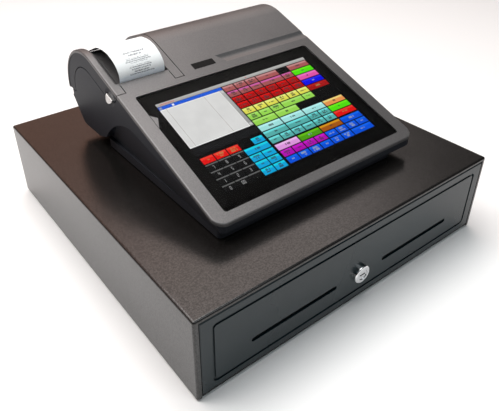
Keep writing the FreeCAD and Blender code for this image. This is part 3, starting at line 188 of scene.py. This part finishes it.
def area_light(name, spot, target, size, power, colour):
    data = bpy.data.lights.new(name, "AREA")
    data.shape = "RECTANGLE"
    data.size = data.size_y = size
    data.energy = power
    data.color = colour
    lamp = bpy.data.objects.new(name, data)
    lamp.location = spot
    lamp.rotation_euler = (Vector(target) - Vector(spot)).to_track_quat("-Z", "Y").to_euler()
    scene.collection.objects.link(lamp)


def make_world():
    """Studio: dark at the horizon, warm behind, cool and dim in front, with one soft box."""
    world = bpy.data.worlds.new("studio")
    scene.world = world
    world.use_nodes = True
    tree = world.node_tree
    tree.nodes.clear()
    where = tree.nodes.new("ShaderNodeTexCoord")
    split = tree.nodes.new("ShaderNodeSeparateXYZ")
    back = tree.nodes.new("ShaderNodeBackground")
    out = tree.nodes.new("ShaderNodeOutputWorld")
    tree.links.new(where.outputs["Generated"], split.inputs[0])
    height = stepped(tree, split.outputs["Z"], WORLD_BY_HEIGHT)
    depth = stepped(tree, split.outputs["Y"], WORLD_BY_DEPTH)
    side = stepped(tree, split.outputs["X"], WORLD_BY_SIDE)
    room = mix(tree, "MULTIPLY", height, mix(tree, "MULTIPLY", depth, side))
    aim = tree.nodes.new("ShaderNodeVectorMath")
    aim.operation = "DOT_PRODUCT"
    aim.inputs[1].default_value = Vector(SOFT_BOX_AT).normalized()
    tree.links.new(where.outputs["Generated"], aim.inputs[0])
    box = stepped(tree, aim.outputs["Value"], SOFT_BOX_EDGE)
    tree.links.new(mix(tree, "ADD", room, box), back.inputs["Color"])
    back.inputs["Strength"].default_value = 1.0
    tree.links.new(back.outputs[0], out.inputs[0])


def make_floor():
    mesh = bpy.data.meshes.new("floor")
    corners = [(-FLOOR_REACH, -FLOOR_REACH, 0), (FLOOR_REACH, -FLOOR_REACH, 0),
               (FLOOR_REACH, FLOOR_REACH, 0), (-FLOOR_REACH, FLOOR_REACH, 0)]
    mesh.from_pydata(corners, [], [(0, 1, 2, 3)])
    floor = bpy.data.objects.new("floor", mesh)
    material, _, shader = new_material("floor")
    shader.inputs["Base Color"].default_value = (*FLOOR_COLOUR, 1)
    shader.inputs["Roughness"].default_value = FLOOR_ROUGH
    mesh.materials.append(material)
    scene.collection.objects.link(floor)


# ------------------------------------------------------------------ finishes
# Each finish: the two colours its grain runs between and its roughness. Grain and mottle are in
# spots per metre, relief in metres. Sparkle is how far the grain changes the specular level.
FINISHES = {
    "case_paint": dict(
        low=(0.006, 0.0055, 0.005), high=(0.011, 0.010, 0.0095), rough=0.20,
        grain=680.0, relief=0.00005, mottle=9.0, specular=0.60, sparkle=0.26),
    "drawer_paint": dict(
        low=(0.006, 0.014, 0.018), high=(0.010, 0.021, 0.026), rough=0.28,
        grain=1600.0, relief=0.000015, mottle=9.0, specular=0.35),
    "zinc_steel": dict(
        low=(0.27, 0.275, 0.28), high=(0.38, 0.385, 0.39), rough=0.42, metal=1.0,
        grain=420.0, relief=0.00001, mottle=40.0, stretch=(1, 0.12, 1)),
    "lock_chrome": dict(
        low=(0.72, 0.72, 0.73), high=(0.86, 0.86, 0.87), rough=0.12, metal=1.0,
        grain=700.0, relief=0.000004, mottle=60.0),
    "foot_rubber": dict(
        low=grey(0.018), high=grey(0.035), rough=0.8,
        grain=900.0, relief=0.00005, mottle=50.0),
    "wheel_nylon": dict(
        low=(0.68, 0.67, 0.62), high=(0.78, 0.77, 0.72), rough=0.45,
        grain=500.0, relief=0.00001, mottle=60.0),
    "till_black": dict(
        low=(0.022, 0.022, 0.023), high=(0.035, 0.035, 0.036), rough=0.5,
        grain=1100.0, relief=0.00004, mottle=20.0),
    "clip_grey": dict(
        low=(0.09, 0.09, 0.095), high=(0.12, 0.12, 0.125), rough=0.45,
        grain=1100.0, relief=0.00002, mottle=20.0),
    "frame_metallic": dict(
        low=(0.120, 0.116, 0.117), high=(0.168, 0.163, 0.164), rough=0.42, metal=0.6,
        grain=900.0, relief=0.00002, mottle=8.0),
    "body_black": dict(
        low=(0.026, 0.028, 0.034), high=(0.038, 0.040, 0.048), rough=0.40,
        grain=1700.0, relief=0.00002, mottle=15.0, specular=0.07),
    "trim_black": dict(
        low=grey(0.004), high=grey(0.008), rough=0.25,
        grain=1700.0, relief=0.000005, mottle=15.0, specular=0.08),
    "button_silver": dict(
        low=(0.62, 0.61, 0.60), high=(0.76, 0.75, 0.74), rough=0.3, metal=0.85,
        grain=2600.0, relief=0.00001, mottle=60.0),
    "gasket_black": dict(
        low=grey(0.003), high=(0.006, 0.0055, 0.005), rough=0.5,
        grain=1000.0, relief=0.0, mottle=30.0, specular=0.05),
    "screen": dict(
        low=(0.004, 0.004, 0.005), high=(0.007, 0.007, 0.008), rough=0.4,
        grain=1000.0, relief=0.0, mottle=30.0, specular=0.05),
    "motor_steel": dict(
        low=grey(0.45), high=grey(0.6), rough=0.35, metal=1.0,
        grain=600.0, relief=0.00001, mottle=40.0, stretch=(0.1, 1, 1)),
    "head_alloy": dict(
        low=(0.6, 0.6, 0.61), high=(0.72, 0.72, 0.73), rough=0.3, metal=1.0,
        grain=500.0, relief=0.00001, mottle=30.0, stretch=(0.1, 1, 1)),
    "platen_rubber": dict(
        low=grey(0.03), high=grey(0.05), rough=0.7,
        grain=1500.0, relief=0.00002, mottle=40.0),
    "board_green": dict(
        low=(0.008, 0.09, 0.035), high=(0.014, 0.14, 0.055), rough=0.3,
        grain=350.0, relief=0.00002, mottle=60.0),
    "chip_black": dict(
        low=grey(0.02), high=grey(0.035), rough=0.5,
        grain=1500.0, relief=0.00002, mottle=60.0),
    "spring_steel": dict(
        low=grey(0.4), high=grey(0.55), rough=0.3, metal=1.0,
        grain=600.0, relief=0.00001, mottle=40.0),
}
FINE_DETAIL = 3.0
BROAD_DETAIL = 2.0
MOTTLE_TONES = (grey(0.9), grey(1.08))
ROUGH_SPREAD = 0.05
SPARKLE_AT = (0.38, 0.62)


def surface(name, low, high, rough, grain, relief, mottle, metal=0.0, stretch=(1, 1, 1),
            specular=0.5, sparkle=0.0):
    """Painted, moulded or metal finish: fine grain in colour and relief over a broad mottling."""
    material, tree, shader = new_material(name)
    fine = noise(tree, grain, FINE_DETAIL, stretch)
    broad = noise(tree, mottle, BROAD_DETAIL)
    colour = ramp(tree, fine, low, high)
    tone = ramp(tree, broad, *MOTTLE_TONES)
    tree.links.new(mix(tree, "MULTIPLY", colour, tone), shader.inputs["Base Color"])
    gloss = spread(tree, broad, rough - ROUGH_SPREAD, rough + ROUGH_SPREAD)
    tree.links.new(gloss, shader.inputs["Roughness"])
    shader.inputs["Metallic"].default_value = metal
    shader.inputs["Specular IOR Level"].default_value = specular
    if sparkle > 0:
        dull, bright = grey(specular * (1 - sparkle)), grey(specular * (1 + sparkle))
        glint = ramp(tree, fine, dull, bright, SPARKLE_AT)
        tree.links.new(glint, shader.inputs["Specular IOR Level"])
    if relief > 0:
        bump(tree, shader, fine, relief)
    return material


# ------------------------------------------------------------------ paper
# Places along the receipt are height plus depth, which grows steadily from tear edge to crest.
RECEIPT_X = -0.0936
RECEIPT_FOOT = 0.2363
RECEIPT_CREST = 0.2920
# Painted cool light on the paper: a blue cast near the tear edge, fading to grey towards the
# crest, in place of how the light falls on it.
RECEIPT_PAINTED_LIGHT = (
    (0.00, (0.88, 0.94, 1.0)),
    (0.22, (0.82, 0.89, 0.96)),
    (0.30, (0.86, 0.89, 0.90)),
)
# Each printed block: distance between rows, first and last place, width of a stroke.
RECEIPT_BLOCKS = (
    (0.0032, 0.2500, 0.2630, 0.0010),
    (0.0032, 0.2665, 0.2760, 0.0010),
    (0.0050, 0.2795, 0.2895, 0.0016),
)
ROW_HALF_LEAST = 0.008
ROW_HALF_RANGE = 0.009
ROW_INKED = 0.62
STROKE_ASPECT = 0.8
STROKE_LEVEL = 0.47
INK = (0.20, 0.21, 0.23)
FIBRE_GRAIN = 700.0
FIBRE_TONES = (grey(0.96), grey(1.0))
PAPER_ROUGH = 0.55


def printing(tree, x, along, pitch, first, last, glyph):
    """Mask of rows of small random strokes between two places, in place of lettering."""
    row_at = maths(tree, "DIVIDE", along, pitch)
    chance = tree.nodes.new("ShaderNodeTexWhiteNoise")
    chance.noise_dimensions = "1D"
    tree.links.new(maths(tree, "FLOOR", row_at), chance.inputs["W"])
    extra = maths(tree, "MULTIPLY", chance.outputs["Value"], ROW_HALF_RANGE)
    half = maths(tree, "ADD", extra, ROW_HALF_LEAST)
    off_middle = maths(tree, "ABSOLUTE", maths(tree, "SUBTRACT", x, RECEIPT_X))
    spot = tree.nodes.new("ShaderNodeCombineXYZ")
    tree.links.new(maths(tree, "DIVIDE", x, glyph), spot.inputs["X"])
    tree.links.new(maths(tree, "DIVIDE", along, glyph * STROKE_ASPECT), spot.inputs["Y"])
    strokes = tree.nodes.new("ShaderNodeTexNoise")
    strokes.inputs["Scale"].default_value = 1.0
    strokes.inputs["Detail"].default_value = 1.0
    tree.links.new(spot.outputs[0], strokes.inputs["Vector"])
    mask = maths(tree, "GREATER_THAN", strokes.outputs["Fac"], STROKE_LEVEL)
    limits = (
        maths(tree, "LESS_THAN", off_middle, half),
        maths(tree, "LESS_THAN", maths(tree, "FRACT", row_at), ROW_INKED),
        maths(tree, "GREATER_THAN", along, first),
        maths(tree, "LESS_THAN", along, last),
    )
    for limit in limits:
        mask = maths(tree, "MULTIPLY", mask, limit)
    return mask


def thermal_paper():
    """White paper: painted cool light gives a blue cast near the tear edge, fading to grey
    farther up; a few rows of grey strokes farther up.
    """
    material, tree, shader = new_material("paper")
    where = tree.nodes.new("ShaderNodeTexCoord")
    split = tree.nodes.new("ShaderNodeSeparateXYZ")
    tree.links.new(where.outputs["Object"], split.inputs[0])
    x = split.outputs["X"]
    along = maths(tree, "ADD", split.outputs["Y"], split.outputs["Z"])
    share = tree.nodes.new("ShaderNodeMapRange")
    share.inputs["From Min"].default_value = RECEIPT_FOOT
    share.inputs["From Max"].default_value = RECEIPT_CREST
    tree.links.new(along, share.inputs["Value"])
    # Painted cool light and shade along the receipt, not the paper's own colour.
    painted_light = stepped(tree, share.outputs["Result"], RECEIPT_PAINTED_LIGHT)
    fibre = ramp(tree, noise(tree, FIBRE_GRAIN, FINE_DETAIL), *FIBRE_TONES)
    ink = 0.0
    for block in RECEIPT_BLOCKS:
        ink = maths(tree, "ADD", ink, printing(tree, x, along, *block))
    shade = ramp(tree, ink, grey(1.0), INK, (0.0, 1.0))
    white = mix(tree, "MULTIPLY", painted_light, fibre)
    tree.links.new(mix(tree, "MULTIPLY", white, shade), shader.inputs["Base Color"])
    shader.inputs["Roughness"].default_value = PAPER_ROUGH
    return material


# ------------------------------------------------------------------ glass and lit screen
KEY_LAYER = "key_colour"
PANE_IOR = 1.12
PANE_ROUGH = (0.005, 0.02)
SMEAR_GRAIN = 14.0
SMEAR_DETAIL = 4.0
SCREEN_BASE = (0.0005, 0.0005, 0.0006)
SCREEN_ROUGH = 0.35
SCREEN_SPECULAR = 0.02
SCREEN_GRAIN = 60.0
SCREEN_TONES = (grey(0.93), grey(1.0))
SCREEN_GLOW = 1.0


def pane():
    """Clear touch glass, faintly smeared."""
    material, tree, shader = new_material("touch_pane")
    shader.inputs["Base Color"].default_value = (1, 1, 1, 1)
    shader.inputs["Transmission Weight"].default_value = 1.0
    shader.inputs["IOR"].default_value = PANE_IOR
    smear = noise(tree, SMEAR_GRAIN, SMEAR_DETAIL)
    tree.links.new(spread(tree, smear, *PANE_ROUGH), shader.inputs["Roughness"])
    return material


def lit_screen():
    """Emission from the picture's own face colours, over an almost black base."""
    material, tree, shader = new_material("lit_picture")
    face = tree.nodes.new("ShaderNodeVertexColor")
    face.layer_name = KEY_LAYER
    tone = ramp(tree, noise(tree, SCREEN_GRAIN, BROAD_DETAIL), *SCREEN_TONES)
    lit = mix(tree, "MULTIPLY", face.outputs["Color"], tone)
    shader.inputs["Base Color"].default_value = (*SCREEN_BASE, 1)
    shader.inputs["Roughness"].default_value = SCREEN_ROUGH
    shader.inputs["Specular IOR Level"].default_value = SCREEN_SPECULAR
    tree.links.new(lit, shader.inputs["Emission Color"])
    shader.inputs["Emission Strength"].default_value = SCREEN_GLOW
    return material


def dress_nodes():
    """Give every CAD node the material of its slot in the record."""
    materials = {name: surface(name, **finish) for name, finish in FINISHES.items()}
    materials["paper"] = thermal_paper()
    materials["touch_pane"] = pane()
    for part in frame["record"]["subparts"]:
        slots = frame["nodes"][part["node"]].data.materials
        slots.clear()
        slots.append(materials[part["material_slot"]])


# ------------------------------------------------------------------ the picture on the screen
# The slope's own frame: U across, V up the glass, N out of it.
TILT = math.radians(19.82)
SLOPE_ORIGIN = Vector((0.0058, -0.05575, 0.1578))
SLOPE = Matrix.Translation(SLOPE_ORIGIN) @ Matrix.Rotation(TILT, 4, "X")
LCD_W = 0.21696
LCD_H = 0.1356
LCD_MIDDLE = (-0.00096, 0.0006)
LCD_N = -0.00255
LAYER_STEP = 0.00003
# Keys shade from the second colour at the top to the first lower down.
COLOURS = {
    "dusty": ((0.40, 0.10, 0.10), (0.58, 0.28, 0.28)),
    "rose": ((0.37, 0.095, 0.095), (0.66, 0.12, 0.42)),
    "red": ((0.42, 0.004, 0.004), (0.72, 0.004, 0.004)),
    "bright": ((0.72, 0.006, 0.006), (0.84, 0.05, 0.03)),
    "maroon": ((0.36, 0.006, 0.006), (0.50, 0.01, 0.01)),
    "yellow": ((0.76, 0.75, 0.10), (0.88, 0.87, 0.25)),
    "lime": ((0.31, 0.68, 0.085), (0.42, 0.80, 0.16)),
    "pale": ((0.36, 0.76, 0.74), (0.50, 0.92, 0.90)),
    "teal": ((0.09, 0.42, 0.40), (0.17, 0.78, 0.78)),
    "violet": ((0.74, 0.31, 0.74), (0.84, 0.50, 0.84)),
    "leaf": ((0.07, 0.33, 0.006), (0.14, 0.55, 0.006)),
    "brown": ((0.38, 0.095, 0.006), (0.74, 0.33, 0.01)),
    "green": ((0.08, 0.76, 0.004), (0.16, 0.86, 0.01)),
    "pink": ((0.78, 0.085, 0.40), (0.86, 0.18, 0.55)),
    "pure": ((0.003, 0.003, 0.78), (0.02, 0.02, 0.90)),
    "orange": ((0.80, 0.30, 0.08), (0.86, 0.72, 0.22)),
    "magenta": ((0.42, 0.004, 0.42), (0.62, 0.01, 0.62)),
    "blue": ((0.002, 0.08, 0.70), (0.006, 0.13, 0.84)),
    "cyan": ((0.005, 0.37, 0.70), (0.01, 0.70, 0.82)),
    "number": (grey(0.004), grey(0.13)),
}
# Label colours; keys not named here have dark labels.
DARK_LABEL = (0.035, 0.035, 0.04)
LIGHT_LABEL = (0.30, 0.36, 0.42)
GOLD_LABEL = (0.40, 0.24, 0.08)
LABELS = {"pure": LIGHT_LABEL, "leaf": LIGHT_LABEL, "blue": LIGHT_LABEL,
          "bright": GOLD_LABEL, "maroon": GOLD_LABEL}
# Keys of the right-hand grid, row by row: colour and how many of the columns each one spans.
RIGHT_ROWS = (
    "dusty1 dusty1 dusty1 dusty2 none1 dusty2",
    "rose1 rose1 rose1 rose2 rose1 green2",
    "red1 red1 red1 red1 red1 red1 pink2",
    "red1 red1 red1 red1 red1 red1 pure2",
    "yellow1 yellow1 yellow1 yellow1 yellow1 yellow1 maroon2",
    "lime1 lime1 lime1 lime2 lime1",
    "lime2 lime2",
    "pale2 pale2 pale2 orange2",
    "teal2 teal2 teal1 teal1 green2",
    "teal1 teal1 teal1 teal1 teal1 teal1 bright2",
    "violet2 leaf2 brown2 blue2",
    "magenta1 magenta1 magenta1 magenta1 blue1 blue1 blue1 blue1",
    "blue1 blue1 blue1 blue1 blue1 blue1 blue2",
)
LEFT_ROWS = (
    "bright1 bright1 bright1 none1 cyan1",
    "number1 number1 number1 cyan2",
    "number1 number1 number1 cyan1 cyan1",
    "number1 number1 number1 cyan1 cyan1",
    "number1 number1 number1 cyan1 cyan1",
)
DIGITS = ((), ("7", "8", "9"), ("4", "5", "6"), ("1", "2", "3"), ("0", "00", "."))
# Everything from here on is in fractions of the picture, from its top left corner.
# Each grid: its rows, left and top edge, column and row pitch, gaps between columns and rows.
GRIDS = (
    (RIGHT_ROWS, 0.3925, 0.0425, (0.07590, 0.07235), (0.0060, 0.0080)),
    (LEFT_ROWS, 0.0055, 0.6355, (0.07520, 0.07280), (0.0050, 0.0085)),
)
LOWER_ROWS_FROM = 10
LOWER_ROWS_DROP = 0.0085
KEY_RIM = (0.0012, 0.0020, 0.0020, 0.0035)
KEY_RIM_TONE = 0.62
KEY_SHADE_ENDS = 0.34
NUMBER_BAR = 0.16
NUMBER_FACE = grey(0.008)
# Labels: pitch of the strokes of a word and the inked share of it, distance between two rows, and
# the widest key that has two.
WORD_PITCH = 0.0062
WORD_INKED = 0.72
WORD_LINE = 0.022
WORD_TALL = (0.0062, 0.0025)
WORD_BELOW = 0.8
TWO_LINES_UNDER = 0.1
# Numerals: width, height, where they start down the key, stroke, pitch, and colour.
DIGIT_WIDE = 0.0085
DIGIT_TALL = 0.030
DIGIT_FROM = 0.36
DIGIT_STROKE = 0.0019
DIGIT_PITCH = 1.35
DIGIT_COLOUR = grey(0.38)
ACROSS_STROKE = 1.6
SEGMENTS = {"0": "abcdef", "1": "bc", "2": "abged", "3": "abgcd", "4": "fgbc", "5": "afgcd",
            "6": "afgedc", "7": "abc", "8": "abcdefg", "9": "abcdfg", ".": "h"}
# Title bar and its row of small marks.
BAR_DOWN_TO = 0.035
BAR_COLOURS = ((0.52, 0.52, 0.51), (0.34, 0.34, 0.33))
MARK_COLOUR = (0.62, 0.14, 0.12)
MARK_DOWN = (0.010, 0.024)
MARK_WIDE = 0.006
MARK_PITCH = 0.0095
MARKS_FROM = 0.022
MARK_COUNT = 9
LONE_MARK_FROM = 0.562
# The list window: blue heading with two marks, pale sheet with two column lines, a scroll trough
# with a button at each end, and the dark line below. Each row: across, down, layer, colours.
LIST_DOWN = (0.082, 0.510)
LIST_WINDOW = (
    ((0, 0.386), (0.038, 0.071), 1, (0.008, 0.10, 0.70)),
    ((0.006, 0.020), (0.044, 0.066), 2, (0.30, 0.34, 0.42)),
    ((0.080, 0.092), (0.044, 0.066), 2, (0.85, 0.86, 0.88)),
    ((0, 0.364), (0.073, 0.519), 1, (0.86, 0.86, 0.85)),
    ((0.004, 0.360), LIST_DOWN, 2, (0.70, 0.70, 0.69)),
    ((0.033, 0.039), LIST_DOWN, 3, (0.80, 0.80, 0.79)),
    ((0.035, 0.0372), (0.078, 0.512), 4, (0.28, 0.24, 0.22)),
    ((0.259, 0.265), LIST_DOWN, 3, (0.80, 0.80, 0.79)),
    ((0.261, 0.2632), (0.078, 0.512), 4, (0.28, 0.24, 0.22)),
    ((0.365, 0.386), (0.071, 0.519), 1, (0.45, 0.45, 0.44), grey(0.30)),
    ((0.368, 0.383), (0.080, 0.104), 2, (0.60, 0.60, 0.59)),
    ((0.368, 0.383), (0.486, 0.510), 2, (0.60, 0.60, 0.59)),
    ((0, 0.386), (0.535, 0.606), 1, (0.009, 0.009, 0.010)),
)


class Picture:
    """Flat coloured rectangles on the display, in fractions of its width and height."""

    def __init__(self):
        self.bm = bmesh.new()
        self.layer = self.bm.loops.layers.float_color.new(KEY_LAYER)

    def patch(self, x, y, level, colour, lower=None):
        """Rectangle in one colour, or shading from colour at its top to lower at its bottom."""
        corners = []
        for a, b in ((x[0], y[1]), (x[1], y[1]), (x[1], y[0]), (x[0], y[0])):
            u = LCD_MIDDLE[0] + (a - 0.5) * LCD_W
            v = LCD_MIDDLE[1] + (0.5 - b) * LCD_H
            place = SLOPE @ Vector((u, v, LCD_N + level * LAYER_STEP))
            corners.append(self.bm.verts.new(place))
        face = self.bm.faces.new(corners)
        for i, loop in enumerate(face.loops):
            shade = lower if (lower and i < 2) else colour
            loop[self.layer] = (*shade, 1)

    def key(self, kind, x, y, seed):
        base, top = COLOURS[kind]
        high = y[1] - y[0]
        if kind == "number":
            bar = y[0] + high * NUMBER_BAR
            self.patch(x, (y[0], bar), 1, top)
            self.patch(x, (bar, y[1]), 1, NUMBER_FACE, base)
            return
        self.patch(x, y, 1, tuple(c * KEY_RIM_TONE for c in base))
        left, right, above, below = KEY_RIM
        inner = (x[0] + left, x[1] - right)
        self.patch(inner, (y[0] + above, y[1] - below), 2, top, base)
        self.patch(inner, (y[0] + high * KEY_SHADE_ENDS, y[1] - below), 3, base)
        self.label(LABELS.get(kind, DARK_LABEL), x, y, seed)

    def label(self, colour, x, y, seed):
        """A few short strokes in place of words; the seed only varies them from key to key."""
        rows = 2 if seed % 3 and x[1] - x[0] < TWO_LINES_UNDER else 1
        middle = (y[0] + y[1]) / 2
        for row in range(rows):
            line = middle + (row - (rows - 1) / 2) * WORD_LINE
            count = 3 + (seed * 7 + row * 5) % 4
            start = (x[0] + x[1]) / 2 - count * WORD_PITCH / 2
            for i in range(count):
                if (seed * 5 + i * 3 + row) % 7 == 0:
                    continue
                tall = WORD_TALL[0] + WORD_TALL[1] * ((seed + i * 3 + row) % 3)
                across = (start + i * WORD_PITCH, start + (i + WORD_INKED) * WORD_PITCH)
                self.patch(across, (line - tall, line + tall * WORD_BELOW), 4, colour)

    def digit(self, text, x, y):
        """Plain numerals made of straight strokes."""
        pitch = DIGIT_WIDE * DIGIT_PITCH
        start = (x[0] + x[1]) / 2 - len(text) * pitch / 2
        top = y[0] + (y[1] - y[0]) * DIGIT_FROM
        half = top + DIGIT_TALL / 2
        end = top + DIGIT_TALL
        stroke = DIGIT_STROKE
        across = stroke * ACROSS_STROKE
        for i, sign in enumerate(text):
            a = start + i * pitch
            b = a + DIGIT_WIDE
            dot = a + DIGIT_WIDE / 3
            bars = {
                "a": ((a, b), (top, top + across)),
                "b": ((b - stroke, b), (top, half)),
                "c": ((b - stroke, b), (half, end)),
                "d": ((a, b), (end - across, end)),
                "e": ((a, a + stroke), (half, end)),
                "f": ((a, a + stroke), (top, half)),
                "g": ((a, b), (half - across / 2, half + across / 2)),
                "h": ((dot, dot + stroke), (end - across, end)),
            }
            for name in SEGMENTS[sign]:
                self.patch(*bars[name], 3, DIGIT_COLOUR)

    def grid(self, rows, left, top, pitch, gap):
        for r, row in enumerate(rows):
            column = 0
            drop = LOWER_ROWS_DROP if r >= LOWER_ROWS_FROM else 0.0
            for c, word in enumerate(row.split()):
                kind, span = word[:-1], int(word[-1])
                x = (left + column * pitch[0], left + (column + span) * pitch[0] - gap[0])
                y = (top + r * pitch[1] + drop, top + (r + 1) * pitch[1] - gap[1] + drop)
                if kind != "none":
                    self.key(kind, x, y, r * 11 + c * 5)
                if kind == "number":
                    self.digit(DIGITS[r][c], x, y)
                column += span

    def finish(self):
        mesh = bpy.data.meshes.new("screen_picture")
        self.bm.to_mesh(mesh)
        self.bm.free()
        mesh.materials.append(lit_screen())
        picture = bpy.data.objects.new("screen_picture", mesh)
        scene.collection.objects.link(picture)
        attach(picture, "case")


def make_picture():
    picture = Picture()
    picture.patch((0, 1), (0, 1), 0, grey(0.003))
    picture.patch((0, 1), (0, BAR_DOWN_TO), 1, *BAR_COLOURS)
    starts = [MARKS_FROM + i * MARK_PITCH for i in range(MARK_COUNT)]
    for start in (*starts, LONE_MARK_FROM):
        picture.patch((start, start + MARK_WIDE), MARK_DOWN, 2, MARK_COLOUR)
    for patch in LIST_WINDOW:
        picture.patch(*patch)
    for grid in GRIDS:
        picture.grid(*grid)
    picture.finish()


# ------------------------------------------------------------------ build
dress_nodes()
make_camera()
make_world()
make_floor()
for name, light in LIGHTS.items():
    area_light(name, *light)
make_picture()

scene.view_settings.view_transform = "Standard"
scene.view_settings.look = "None"
